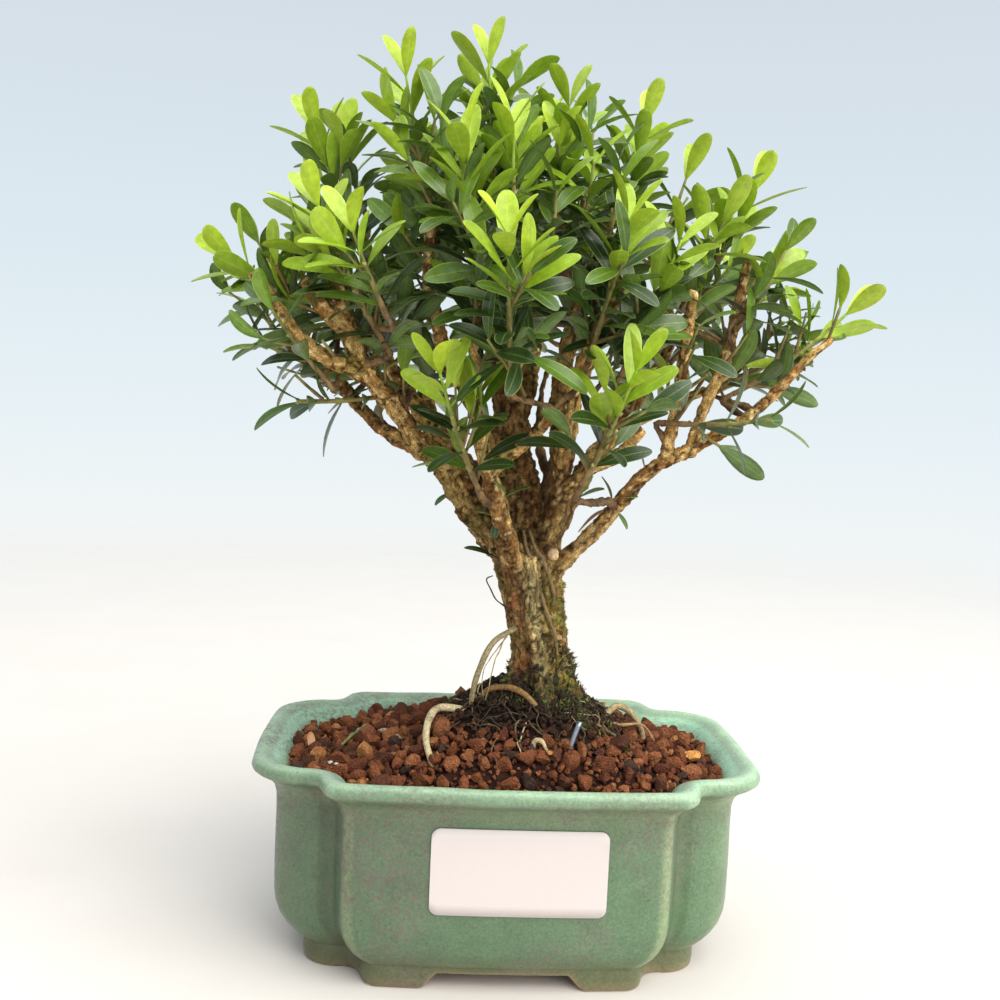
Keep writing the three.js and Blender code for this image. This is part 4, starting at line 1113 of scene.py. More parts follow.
def sweep(start, leaving, foot, arriving, share=TWIG["sweep"], steps=14):
    """A line that leaves its parent along it and ends straight at the given point."""
    reach = share * np.linalg.norm(foot - start)
    straight = foot - arriving * TWIG["straight"]
    handles = [start, start + leaving * reach, straight - arriving * reach, straight]
    t = np.linspace(0, 1, steps + 1)[:, None]
    weights = [(1 - t) ** 3, 3 * t * (1 - t) ** 2, 3 * t * t * (1 - t), t**3]
    return np.concatenate([sum(w * h for w, h in zip(weights, handles)), [foot]])


def grow_branch(old, joint, key):
    """A side branch: its own leafy stem, and the bare stretch that joins it to its parent."""
    stem = outward_stem(key, joint, SHOOT["lift"])
    start, foot = stem_point(old, BRANCH["at"]), stem_point(stem, BRANCH["foot"])
    leaving = unit(stem_tangent(old, BRANCH["at"]) + unit(foot - start))
    return stem, sweep(start, leaving, foot, stem_tangent(stem, BRANCH["foot"]))


def join_twig(old):
    """The twig's line and radii from its limb to the foot of its leafy stem."""
    tangent = stem_tangent(old, -SHOOT["old"])
    foot = stem_point(old, -SHOOT["old"]) - tangent * TWIG["clear"]

    def cost(piece):
        end = piece[0]
        return np.linalg.norm(foot - end) + JOIN["climb"] * max(0, end[2] - foot[2] + JOIN["rise"])

    start, host, radius = min(PIECES, key=cost)
    turning = ramp(unit(foot - start) @ tangent, -0.3, 0.7)
    line = sweep(start, unit(0.4 * host + unit(foot - start)), foot, tangent, lerp(0.1, 0.34, turning))
    return line, np.linspace(min(TWIG["thick"], TWIG["share"] * radius), TWIG["thin"], len(line))


# Leaves

LEAF_T = np.array([0.0, 0.06, 0.16, 0.3, 0.45, 0.6, 0.73, 0.84, 0.92, 0.975, 1.0])
LEAF_W = np.array([-1, -0.55, 0, 0.55, 1])
GREENS = [rgb(28, 45, 21), rgb(48, 72, 27), rgb(92, 123, 30), rgb(142, 172, 32), rgb(166, 188, 44)]


def leaf_outline(kind):
    """Share of the half width along a spoon-shaped blade."""
    rise, fall = (1.05, 0.52) if kind == "young" else (0.95, 0.56)
    t = np.clip(LEAF_T, 0, 0.999)
    wide = t**rise * (1 - t) ** fall
    return np.maximum(wide / (wide.max()), 0.09)


def leaf_green(age):
    """The green of a leaf from 0, old and dark, to 1, new and lime."""
    where = np.clip(age, 0, 1) * (len(GREENS) - 1)
    i = int(min(where, len(GREENS) - 2))
    return lerp(GREENS[i], GREENS[i + 1], where - i)


def blade_faces():
    """The faces of any blade, an upper and a lower sheet that share their edge, and its inner points."""
    stations, shares = len(LEAF_T), len(LEAF_W)
    inner = np.zeros((stations, shares), bool)
    inner[1:-1, 1:-1] = True
    under_at = np.flatnonzero(inner)
    under = np.arange(stations * shares)
    under[under_at] = stations * shares + np.arange(len(under_at))
    faces = []
    for i, j in product(range(stations - 1), range(shares - 1)):
        a, b = i * shares + j, (i + 1) * shares + j
        quad = [a, a + 1, b + 1, b]
        faces += [quad, [int(under[q]) for q in quad[::-1]]]
    return faces, under_at


BLADE_FACES, UNDER_AT = blade_faces()
BLADE_T, BLADE_W = np.repeat(LEAF_T, len(LEAF_W)), np.tile(LEAF_W, len(LEAF_T))


def add_leaf(shape, leaf, kind, age, tint=None):
    """A thin closed blade, keeled, twisted and drooping."""
    length, half, t = 1.04 * leaf["length"], 0.45 * leaf["width"], BLADE_T
    w = BLADE_W * np.repeat(leaf_outline(kind), len(LEAF_W))
    notch = 0.012 * (t > 0.99) * (1 - np.abs(BLADE_W))
    turn = (leaf["roll"] - 0.5) * 0.6 * t
    across = leaf["across"][None] * np.cos(turn)[:, None] + leaf["normal"][None] * np.sin(turn)[:, None]
    keel = 0.12 + 0.2 * leaf["roll"]
    arch = 0.07 * length * t**3 if kind == "old" else 0.03 * length * t**3
    lift = keel * half * np.abs(w) ** 1.3 - leaf["droop"] * length * t * t - arch
    base = (
        leaf["root"] + leaf["along"] * (length * (t - notch))[:, None] + across * (half * w)[:, None]
        + leaf["normal"] * lift[:, None]
    )
    thick = np.zeros((len(t), 1))
    thick[UNDER_AT] = 0.17
    points = np.concatenate([base + leaf["normal"] * thick, (base - leaf["normal"] * thick)[UNDER_AT]])
    green = leaf_green(age) * (0.84 + 0.3 * leaf["roll"]) if tint is None else tint
    top = lerp(green, green * 1.15, (1 - t)[:, None])
    pale = lerp(green * 1.1, rgb(140, 172, 96), 0.42 - 0.34 * ramp(age, 0.4, 0.7))
    marks = np.column_stack([BLADE_W, t, 0 * t])
    tints = np.concatenate([top, np.broadcast_to(pale, (len(UNDER_AT), 3))])
    shape.add(points, BLADE_FACES, tints, np.concatenate([marks, marks[UNDER_AT]]))


# Single leaves on the trunk and lower limbs, and dead ones: foot, tip, width, and age or -1 for dead.
DEAD = rgb(166, 112, 70)
LOOSE = [
    ((-4.5, -6, 119.5), (-14.3, -8, 123.9), 4.4, 0.3), ((-5.1, -12, 132), (-11.4, -16, 135.8), 3.6, 0.6),
    ((-6.1, -14, 132.2), (-6.9, -16, 127.3), 2.8, 0.1), ((-4.1, -16, 139.4), (1.9, -20, 143.8), 4, 0.45),
    ((-4.1, -16, 139.4), (-7, -21, 145), 3.6, 0.35), ((-19.8, -8, 139.5), (-25, -9, 136.2), 3.4, 0.35),
    ((18.6, -8, 139.3), (25.4, -10, 143.4), 3.8, 0.45), ((19.2, -9, 140), (21, -14, 147), 3.6, 0.3),
    ((29.3, -7, 138.9), (35.6, -8, 145.2), 4.2, 0.4), ((29.3, -7, 138.5), (26.6, -10, 146.4), 4, 0.3),
    ((29.6, -7, 138.6), (35, -14, 142), 3.8, 0.5), ((30.4, -7, 135.9), (34.7, -8, 131), 3.2, 0.4),
    ((19, -9, 128.8), (24.5, -12, 136.8), 3.4, -1), ((38, -12, 148.9), (35.1, -15, 157.5), 3, -1),
    ((-16.1, -30, 168.3), (-28.8, -34, 169.2), 3.4, -1), ((-68, -25, 195), (-72.8, -28, 205), 3.6, -1),
    ((-59.5, -6, 56), (-60.5, -3, 62.5), 2.6, -1),
]


def loose_leaf(root, tip, width):
    """A leaf given by its two ends."""
    root, tip = np.array(root, float), np.array(tip, float)
    along = unit(tip - root)
    normal = unit(UP - along * along[2] + [0, -0.3, 0])
    across = unit(np.cross(along, normal))
    return {
        "root": root, "along": along, "normal": np.cross(across, along), "across": across,
        "length": float(np.linalg.norm(tip - root)), "width": width, "droop": 0.08, "roll": 0.5,
    }


class Crown:
    """Keeps what is placed so that later leaves and stems stay clear of it."""

    def __init__(self):
        self.cells = {}

    def cell(self, p):
        return tuple(np.floor(np.asarray(p) / 2.0).astype(int))

    def note(self, points):
        for p in points:
            self.cells.setdefault(self.cell(p), []).append(p)

    def is_clear(self, points, gap):
        for p in points:
            x, y, z = self.cell(p)
            for dx, dy, dz in product((-1, 0, 1), repeat=3):
                for other in self.cells.get((x + dx, y + dy, z + dz), ()):
                    if np.sum((other - p) ** 2) < gap * gap:
                        return False
        return True


crown = Crown()


def leaf_marks(leaf):
    return [leaf_point(leaf, t, w) for t, w in ((0.35, 0), (0.6, -0.8), (0.6, 0.8), (0.8, 0), (0.97, 0))]


def stem_tint(kind):
    """Colours for the two ends of a leafy stem."""
    return {
        "young": (rgb(142, 150, 70), rgb(150, 186, 60)),
        "old": (rgb(128, 98, 60), rgb(140, 140, 74)),
    }[kind]


def add_stem(shape, stem, s0, s1, from_r, to_r, tints):
    """A stem with a swelling here and there, brown at its foot and greener at its tip."""
    s = np.linspace(s0, s1, max(4, round((s1 - s0) / 1.6)))
    line = np.array([stem_point(stem, v) for v in s])
    radii = np.linspace(from_r, to_r, len(s)) * (1 + 0.2 * wobble(line, 1.6, 25))
    points, faces = tube(line, radii, 6)
    along = np.repeat(np.linspace(0, 1, len(s)), 6)
    tint = lerp(tints[0], tints[1], along[:, None]) * (0.9 + 0.4 * wobble(points, 1.2, 26))[:, None]
    shape.add(points, faces, tint, (0.5, 0.5, 1))


BUD = rgb(150, 146, 84)


def add_buds(shape, stem, spots):
    """Plump buds in the leaves' axils."""
    for (n, s), side in product(enumerate(spots), (0, 1)):
        size = 1.0 + 0.8 * draw(stem["key"], n, side, 71)
        along, _ = direction_from(stem, s, 90 * n + 180 * side + 25, 36)
        line = np.array([stem_point(stem, s) + along * (0.4 + size * v) for v in np.linspace(-0.3, 1.0, 5)])
        points, faces = tube(line, np.array([0.2, 0.4, 0.42, 0.28, 0.05]) * size, 6)
        shape.add(points, faces, BUD * (0.8 + 0.5 * draw(stem["key"], n, side, 72)), (0.5, 0.5, 1))


def old_age(leaf, tip_share):
    """How green an old leaf is: darker inside, lighter towards a stem's tip and the crown's top."""
    reach = np.linalg.norm(leaf["root"] - CROWN_HUB)
    return 0.03 + 0.4 * leaf["age"] ** 2 + 0.14 * tip_share + 0.2 * ramp(reach, 75, 115)


def young_age(leaf, tip_share):
    return 0.66 + 0.2 * tip_share + 0.14 * leaf["age"]


def fullness(point):
    """How thick the foliage is: full in the crown's middle, airy at its sides and low down."""
    side = ramp(abs(point[0] + 6), 28, 62)
    front = ramp(-point[1], 0, 25) * ramp(-point[2], -190, -172)
    low = side * ramp(-point[2], -200, -182)
    right = ramp(point[0], 20, 60)
    return (1 - 0.4 * side) * (1 - 0.6 * front) * (1 - 0.5 * low) * (1 - 0.25 * right)


def add_pairs(shape, stem, pairs, seed, kind, ages, gap=1.3, closing_last=True):
    """Further opposite pairs along a stem, wherever they keep clear."""
    for n, s in enumerate(pairs):
        closing = closing_last and n == len(pairs) - 1
        for side in (0, 1):
            leaf = leaf_frame(stem | {"key": stem["key"] + seed}, s, n, side, closing, (45, 0))
            for bend in BENDS[1:]:
                if crown.is_clear(leaf_marks(leaf), gap):
                    break
                turned = (45 + bend[0], bend[1])
                leaf = leaf_frame(stem | {"key": stem["key"] + seed}, s, n, side, closing, turned)
            else:
                continue
            too_many = draw(stem["key"] + seed, n, side, 61) > fullness(leaf["root"])
            if too_many or not allowed(leaf_point(leaf, 1, 0)):
                continue
            crown.note(leaf_marks(leaf))
            add_leaf(shape, leaf, kind, ages(leaf, n / max(1, len(pairs) - 1)))


cad_low, cad_high = (np.array(corner) / MM - SHIFT for corner in (cad_box[0], cad_box[1]))
TIPS = []
UNDERSIDE = 0.55  # the slope of the crown's lower face, up from the hub


def crown_reach(direction):
    """How far the crown reaches from its hub in a direction, from the ends round about."""
    tips = np.array(TIPS) - CROWN_HUB
    reach = np.linalg.norm(tips, axis=1)
    angle = np.degrees(np.arccos(np.clip(unit(tips) @ direction, -1, 1)))
    weight = np.exp(-((angle / 15) ** 2)) + 1e-6
    return float((weight * reach).sum() / weight.sum())


def allowed(tip, share=1.02):
    """Whether a leaf's tip lies inside the crown's form and above its bare lower part."""
    away = tip - CROWN_HUB
    reach = np.linalg.norm(away)
    if (tip < cad_low + 0.5).any() or (tip > cad_high - 0.5).any():
        return False
    return reach < share * crown_reach(away / reach) and away[2] > UNDERSIDE * np.hypot(away[0], away[1])


def cad_foliage(index, end):
    """One leafy stem of the solids, with its blades where the solids have them and more between."""
    old = outward_stem(index, end[:3], end[4] if len(end) > 4 else SHOOT["lift"])
    young = bool(end[3])
    number = f"{index + 1:02d}"
    tree = node_tree(f"old_foliage_{number}")
    shape = Shape()
    add_stem(shape, old, -SHOOT["old"], 0, 0.95, 0.7, stem_tint("old"))
    add_buds(shape, old, [-20.4, -12.4, -4.9, -0.4])
    pairs = OLD_PAIRS if young else [*OLD_PAIRS, OLD_TIP]
    found = []
    for n, s in enumerate(pairs):
        closing = s >= OLD_TIP and n == len(pairs) - 1
        for side in (0, 1):
            leaf = cad_leaf(old, s, n, side, closing, tree)
            if leaf:
                found.append((leaf, n / len(pairs)))
    sprig = cad_sprig(old, tree)
    if sprig:
        add_stem(shape, sprig, -SPRIG["length"], 0, 0.7, 0.5, stem_tint("old"))
        for side in (0, 1):
            leaf = cad_leaf(sprig, SPRIG_PAIRS[0], 0, side, True, tree)
            if leaf:
                found.append((leaf, 0.8))
    for leaf, share in found:
        add_leaf(shape, leaf, "old", old_age(leaf, share))
        crown.note(leaf_marks(leaf))
    TIPS.append(stem_point(old, 29 if young else 13))
    entry = {"old": old, "sprig": sprig, "shape": shape, "young": young, "number": number, "branches": []}
    for n, (parent, *joint, lime) in enumerate(BRANCHES):
        if parent == index + 1:
            stem, bare = grow_branch(old, joint, 2 * len(ENDS) + n)
            entry["branches"].append({"stem": stem, "bare": bare, "lime": lime, "tree": tree})
            TIPS.append(stem_point(stem, BRANCH["tip"] + 12))
    return entry


def cad_branch(shape, limes, branch):
    """A side branch of the solids: dark leaves towards its foot, and perhaps lime ones at its end."""
    stem = branch["stem"]
    add_twig(shape, branch["bare"], np.linspace(1.0, 0.95, 4))
    add_stem(shape, stem, BRANCH["foot"] - BRANCH["overlap"], BRANCH["tip"], 0.9, 0.45, stem_tint("old"))
    add_buds(shape, stem, [-9, -1])
    for n, s in enumerate(BRANCH_PAIRS):
        for side in (0, 1):
            leaf = cad_leaf(stem, s, n, side, n == len(BRANCH_PAIRS) - 1, branch["tree"])
            if not leaf:
                continue
            crown.note(leaf_marks(leaf))
            if branch["lime"] and n > 0:
                add_leaf(limes, leaf, "young", 0.5 + 0.2 * n + 0.1 * leaf["age"])
            else:
                add_leaf(shape, leaf, "old", old_age(leaf, n / len(BRANCH_PAIRS)))


def cad_shoot(entry):
    """The young shoot that the solids have at a stem's end."""
    tree = node_tree(f"young_shoot_{entry['number']}")
    young = entry["old"] | {"kind": "young"}
    shape = Shape()
    add_stem(shape, young, 0, SHOOT["young"], 0.62, 0.4, stem_tint("young"))
    base = 0.64 + 0.16 * draw(young["key"], 31)
    for n, s in enumerate(YOUNG_PAIRS):
        for side in (0, 1):
            leaf = cad_leaf(young, s, n, side, n == len(YOUNG_PAIRS) - 1, tree)
            if leaf:
                add_leaf(shape, leaf, "young", base + 0.1 * n + 0.1 * leaf["age"])
                crown.note(leaf_marks(leaf))
    return shape


def fill_stem(shape, limes, entry):
    """The pairs and side sprigs that the solids leave out of a leafy stem."""
    old, sprig = entry["old"], entry["sprig"]
    add_pairs(shape, old, [-27, -17, -9.3], 100, "old", old_age, closing_last=False)
    if sprig:
        add_pairs(shape, sprig, [-9.5, -5.2], 200, "old", old_age, closing_last=False)
    for n, at in enumerate((-28, -15, -7)):
        length = 13 + 4 * draw(old["key"], n, 41)
        add_sprig(shape, stem_point(old, at), stem_tangent(old, at), length, (old["key"], n))
    if entry["young"]:
        for n, at in enumerate((-12, -6)):
            length = 11 + 6 * draw(old["key"], n, 45)
            point, along = stem_point(old, at), stem_tangent(old, at)
            add_sprig(limes, point, along, length, (old["key"], 60 + n), "young")


def fill_branch(shape, limes, branch):
    """The pairs and shoots that the solids leave out of a side branch."""
    stem = branch["stem"]
    add_pairs(shape, stem, [-13.5, -5.5], 100, "old", old_age, closing_last=False)
    if branch["lime"]:
        add_pairs(limes, stem, [2.5], 150, "young", young_age, closing_last=False)
        length = 11 + 5 * draw(stem["key"], 46)
        add_sprig(limes, stem_point(stem, -7), stem_tangent(stem, -7), length, (stem["key"], 60), "young")
    else:
        add_pairs(shape, stem, [2.5], 150, "old", old_age, closing_last=False)


def add_sprig(shape, start, along, length, keys, kind="old", lighter=0.0):
    """A short leafy side stem from a point of the wood."""
    turn = 2 * math.pi * draw(*keys, 42)
    side = unit(np.cross(along, UP if abs(along[2]) < 0.9 else np.array([1.0, 0, 0])))
    out = side * math.cos(turn) + np.cross(along, side) * math.sin(turn)
    away = unit(start - CROWN_HUB)
    axis = unit(0.8 * out + 0.5 * along + 0.5 * away + (0.8 if kind == "young" else 0.45) * UP)
    tip = start + axis * length
    if not allowed(tip + axis * 7):
        return
    marks = [start + axis * v for v in np.arange(5, length + 8, 2.5)]
    if not crown.is_clear(marks, 1.4):
        return
    stem = make_stem(int(1000 + 9000 * draw(*keys, 43)), tip, axis, side, kind)
    add_stem(shape, stem, -length, 0, 0.6, 0.4, stem_tint("old"))
    crown.note(marks[:-3])
    pairs = [-s for s in np.arange(1, length - 3, 5.4 if kind == "young" else 4.6)][::-1]
    lighter = lighter * draw(*keys, 44)
    ages = young_age if kind == "young" else old_age
    add_pairs(shape, stem, pairs, 300, kind, lambda leaf, share: ages(leaf, share) + lighter)


FILL = {"spacing": 6, "inner": 40, "outer": 82, "low": 0.55, "full": 0.95}


def fill_wood(shape, line, key):
    """Leafy side sprigs along a limb or twig, more of them towards the crown's outside."""
    run = np.concatenate([[0], np.cumsum(np.linalg.norm(np.diff(line, axis=0), axis=1))])
    tangents = unit(np.gradient(line, axis=0))
    for n, at in enumerate(np.arange(3, run[-1], FILL["spacing"])):
        point = np.array([np.interp(at, run, line[:, k]) for k in range(3)])
        along = unit(np.array([np.interp(at, run, tangents[:, k]) for k in range(3)]))
        away = point - CROWN_HUB
        reach = np.linalg.norm(away)
        slope = away[2] / max(1, np.hypot(away[0], away[1]))
        chance = ramp(reach, FILL["inner"], FILL["outer"]) * ramp(slope, FILL["low"], FILL["full"])
        if draw(key, n, 51) < chance:
            # Lighter greens further out in the crown, and painted light on the crown's right side.
            lighter = 0.25 * ramp(reach, 60, 100) + 0.2 * ramp(point[0], 10, 50)
            add_sprig(shape, point, along, 10 + 9 * draw(key, n, 52), (key, n), lighter=lighter)


def twig_tints(line):
    return lerp(rgb(150, 118, 72), rgb(96, 68, 40), (0.5 + 0.5 * wobble(line, 5, 21))[:, None])


def add_twig(shape, line, radii):
    """A thin, knobbly twig with rough bark."""
    count = max(6, round(length_of(line) / 0.9))
    fine = smooth_line(line, count) if len(line) > 2 else line
    radii = 0.8 * np.interp(np.linspace(0, 1, len(fine)), np.linspace(0, 1, len(radii)), radii)
    fine = fine + 0.35 * np.column_stack([wobble(fine, 5, 34 + k) for k in range(3)])
    points, faces = tube(fine, radii * (1 + 0.2 * wobble(fine, 1.5, 22)), 8)
    knobs = np.column_stack([wobble(points, 0.9, 37 + k) for k in range(3)])
    points = points + 0.22 * np.repeat(radii, 8)[:, None] * knobs
    cracks = 0.75 * ramp(wobble(points, (1, 1, 1.4), 23), 0.1, 0.7)
    shape.add(points, faces, lerp(twig_tints(points), BARK["dark"], cracks[:, None]))


# Short branches between the limbs: each one's points and the radii along it.
INNER_TWIGS = [
    ([(8, 3, 122), (9.4, 4, 133), (10.4, 5, 142), (13, 6, 153)], [3.2, 2.9, 2.3, 1.6]),
    ([(4, 6, 156), (8.5, 5, 163), (12, 4, 172), (14, 2, 184)], [1.8, 1.1]),
    ([(13, 8, 140), (8, 10, 152), (7, 12, 166), (10, 12, 180)], [2.0, 1.0]),
]


def make_crown():
    """All the foliage and thin twigs."""
    entries = [cad_foliage(i, end) for i, end in enumerate(ENDS)]
    shoots = {e["number"]: cad_shoot(e) for e in entries if e["young"]}
    twig_lines = [join_twig(e["old"]) for e in entries]
    limes = Shape()
    branches = [(e, branch) for e in entries for branch in e["branches"]]
    for e, branch in branches:
        cad_branch(e["shape"], limes, branch)
    for e, branch in branches:
        fill_branch(e["shape"], limes, branch)
    for e in entries:
        fill_stem(e["shape"], limes, e)
        if e["young"]:
            shoot = e["old"] | {"kind": "young"}
            add_pairs(shoots[e["number"]], shoot, [-1], 150, "young", young_age, closing_last=False)
    inner = Shape()
    for n, (line, _) in enumerate(twig_lines):
        fill_wood(inner, line, 700 + n)
    for n, (points, _, _) in enumerate(LIMBS.values()):
        fill_wood(inner, limb_line(points), 800 + n)
    twigs = Shape()
    for line, radii in twig_lines + INNER_TWIGS:
        add_twig(twigs, line, radii)
    for e in entries:
        number = e["number"]
        e["shape"].build(f"leafy_stem_{number}", "old_leaf", [f"old_foliage_{number}"], crease=70)
        if e["young"]:
            shoots[number].build(f"lime_shoot_{number}", "young_leaf", [f"young_shoot_{number}"], crease=70)
    limes.build("lime_side_shoots", "young_leaf", crease=70)
    for root, tip, width, age in LOOSE:
        add_leaf(inner, loose_leaf(root, tip, width), "old", age, DEAD if age < 0 else None)
    inner.build("inner_foliage", "old_leaf", crease=70)
    twigs.build("thin_twigs", "bark", look="root")


# Soil

SOIL = {"edge": 55, "ridge": 6, "ridge_width": 50, "wall": 2.5, "slope": 9, "rim": 58}
MOUND = {"height": 21, "middle": 8, "half_length": 31, "half_depth": 27}
CLAY = [
    rgb(124, 72, 44), rgb(102, 57, 37), rgb(142, 88, 55),
    rgb(86, 51, 34), rgb(160, 108, 64), rgb(72, 52, 42),
]


# Grains unlike the rest: x, y, radius and colour.
ODD_GRAINS = [
    (58.5, -10, 3.1, rgb(226, 160, 86)), (-52.8, -20, 1.1, rgb(236, 232, 224)),
    (-51, -21, 0.7, rgb(236, 232, 224)), (-53.5, -22.5, 0.6, rgb(226, 220, 210)),
    (12, -33, 1.7, rgb(206, 138, 72)), (36, 20, 1.8, rgb(206, 138, 72)),
    (-36, 22, 1.9, rgb(190, 130, 76)),
]


def wall_gap(x, y):
    """About how far a place on the soil is from the pot's inner wall."""
    x, y = np.abs(x), np.abs(y)
    panel = np.minimum(POT["panel"] - SOIL["wall"] - x, POT["depth"] - SOIL["wall"] - y)
    lobe = np.minimum(POT["lobe"] - SOIL["wall"] - x, POT["shoulder"] - SOIL["wall"] - y)
    return np.maximum(panel, lobe)


def soil_height(x, y):
    ridge = SOIL["ridge"] * np.exp(-((x / SOIL["ridge_width"]) ** 2))
    out = ((x - MOUND["middle"]) / MOUND["half_length"]) ** 2 + (y / MOUND["half_depth"]) ** 2
    height = SOIL["edge"] + ridge + MOUND["height"] * np.exp(-out)
    near = ramp(-wall_gap(x, y), -SOIL["slope"], 0)
    return lerp(height, np.minimum(height, SOIL["rim"]), near)


def peat_share(x, y):
    """1 in the dark, rooty earth round the trunk, and 0 out on the granules."""
    reach = np.hypot((x - TRUNK_X + 2) / 1.25, y + 2)
    return ramp(-reach, -29, -17)


def inside(points, outline):
    """Which points lie inside a closed outline."""
    x, y = points[:, 0], points[:, 1]
    result = np.zeros(len(points), bool)
    for (x0, y0), (x1, y1) in zip(outline, np.roll(outline, -1, 0)):
        crosses = (y0 > y) != (y1 > y)
        result ^= crosses & (x < (x1 - x0) * (y - y0) / (y1 - y0 + 1e-12) + x0)
    return result


def make_bed():
    """The fine earth under the granules, out to the pot's wall, kept dark partly as painted shade in the gaps
    between them.
    """
    outline = plan(-2.8, -2.8)
    shares = np.linspace(0, 1, 46)
    centre = np.array([0.0, 0.0])
    rings = []
    for share in shares[1:]:
        ring = lerp(centre, outline, share)
        z = soil_height(ring[:, 0], ring[:, 1]) - 0.9
        flat = np.column_stack([ring, z])
        flat[:, 2] += 0.5 * wobble(flat * [1, 1, 0], 3.2, 61) + 0.35 * wobble(flat * [1, 1, 0], 1.3, 62)
        rings.append(flat)
    levels = ((5.4, 50), (5.8, 30), (7.5, 14))
    skirt = [np.column_stack([plan(-k, -k), np.full(len(outline), z)]) for k, z in levels]
    rings += skirt
    count = len(outline)
    points = np.concatenate([[[0, 0, soil_height(0, 0) - 0.9]], *rings, [[0, 0, 14]]])
    faces = [[0, 1 + j, 1 + (j + 1) % count] for j in range(count)]
    for i in range(len(rings) - 1):
        for j in range(count):
            k = (j + 1) % count
            a, b = 1 + i * count, 1 + (i + 1) * count
            faces.append([a + j, b + j, b + k, a + k])
    last = 1 + (len(rings) - 1) * count
    faces += [[last + (j + 1) % count, last + j, len(points) - 1] for j in range(count)]
    # The earth is dark partly as painted shade in the gaps between the granules, and darker still in the peat
    # round the trunk.
    dark = peat_share(points[:, 0], points[:, 1])[:, None]
    tint = lerp(rgb(50, 28, 20), rgb(30, 22, 16), dark)
    shape = Shape()
    shape.add(points, faces, tint)
    shape.build("soil_bed", "soil", ["soil"])


def ball(level):
    mesh = bmesh.new()
    bmesh.ops.create_icosphere(mesh, subdivisions=level, radius=1)
    points = np.array([v.co for v in mesh.verts])
    faces = [[v.index for v in f.verts] for f in mesh.faces]
    mesh.free()
    return points, faces


def lump(level, seed):
    """A broken granule: a ball with many flats struck off it and a pitted skin."""
    points, faces = ball(level)
    random = np.random.default_rng(seed)
    for _ in range(11):
        way = unit(random.normal(size=3))
        over = np.maximum(points @ way - random.uniform(0.42, 0.78), 0)
        points = points - way * over[:, None] * 0.95
    points = points * (1 + 0.16 * wobble(points, 0.6, seed) + 0.1 * wobble(points, 0.27, seed + 1))[:, None]
    return points, faces


def turn_matrix(random):
    q = unit(random.normal(size=4))
    w, x, y, z = q
    return np.array([
        [1 - 2 * (y * y + z * z), 2 * (x * y - z * w), 2 * (x * z + y * w)],
        [2 * (x * y + z * w), 1 - 2 * (x * x + z * z), 2 * (y * z - x * w)],
        [2 * (x * z - y * w), 2 * (y * z + x * w), 1 - 2 * (x * x + y * y)],
    ])


def scatter(random, sizes, placed, share):
    """Places for grains of these radii, clear of those placed before: rows of x, y and radius."""
    fresh = []
    tries = random.uniform([-66, -46], [66, 46], (len(sizes), 12, 2))
    for radius, spots in zip(sizes, tries):
        spots = spots[inside(spots, plan_at(1.4 + 0.9 * radius))]
        spots = spots[np.hypot(spots[:, 0] - TRUNK_X, spots[:, 1]) > 10]
        for p in spots:
            gap = np.hypot(placed[:, 0] - p[0], placed[:, 1] - p[1]) - share * (placed[:, 2] + radius)
            if (gap > 0).all():
                placed = np.vstack([placed, [*p, radius]])
                fresh.append([*p, radius])
                break
    return np.array(fresh), placed


PLANS = {}


def plan_at(inset):
    key = round(2 * inset) / 2
    if key not in PLANS:
        PLANS[key] = plan(-key, -key)[::3]
    return PLANS[key]


def add_grains(shape, random, rows, shapes, sink, dark):
    for x, y, radius in rows:
        points, faces = shapes[random.integers(len(shapes))]
        scale = radius * random.uniform([0.85, 0.85, 0.75], [1.15, 1.15, 1.0])
        p = (points * scale) @ turn_matrix(random).T
        z = soil_height(x, y) + radius * sink + random.uniform(-0.3, 0.5)
        tint = CLAY[random.choice(len(CLAY), p=[0.34, 0.22, 0.18, 0.12, 0.08, 0.06])]
        tint = tint * random.uniform(0.85, 1.15)
        tint = lerp(tint, rgb(44, 31, 24), dark * peat_share(x, y))
        shape.add(p + [x, y, z], faces, tint)


def make_soil():
    random = np.random.default_rng(11)
    make_bed()
    placed = np.zeros((0, 3))
    sizes = np.sort(random.gamma(5, 0.42, 760))[::-1].clip(1.25, 3.7)
    rows, placed = scatter(random, sizes, placed, 0.72)
    far = rows[peat_share(rows[:, 0], rows[:, 1]) < 0.4]
    coarse = Shape()
    add_grains(coarse, random, far, [lump(2, 100 + i) for i in range(16)], 0.2, 0.7)
    coarse.build("soil_granules", "soil", crease=28)
    rows, placed = scatter(random, random.uniform(0.7, 1.5, 2000), placed, 0.58)
    fine = Shape()
    add_grains(fine, random, rows, [lump(1, 300 + i) for i in range(12)], 0.1, 0.9)
    crumbs = random.gamma(4, 0.19, 1700).clip(0.3, 1.6)
    spots = random.normal(size=(1700, 2)) * [15, 12] + [TRUNK_X - 2, -4]
    rows = np.column_stack([spots, crumbs])
    rows = rows[inside(rows[:, :2], plan_at(7))]
    rows = rows[np.hypot(rows[:, 0] - TRUNK_X, rows[:, 1]) > 8]
    add_grains(fine, random, rows, [lump(1, 400 + i) for i in range(12)], 0.3, 1.0)
    for n, (x, y, radius, tint) in enumerate(ODD_GRAINS):
        points, faces = lump(2, 200 + n)
        place = [x, y, soil_height(x, y) + 0.5 + 0.7 * radius]
        fine.add(points * radius * [1.2, 1, 0.8] + place, faces, tint)
    fine.build("soil_fines", "soil", crease=30)


# Roots, wire and moss

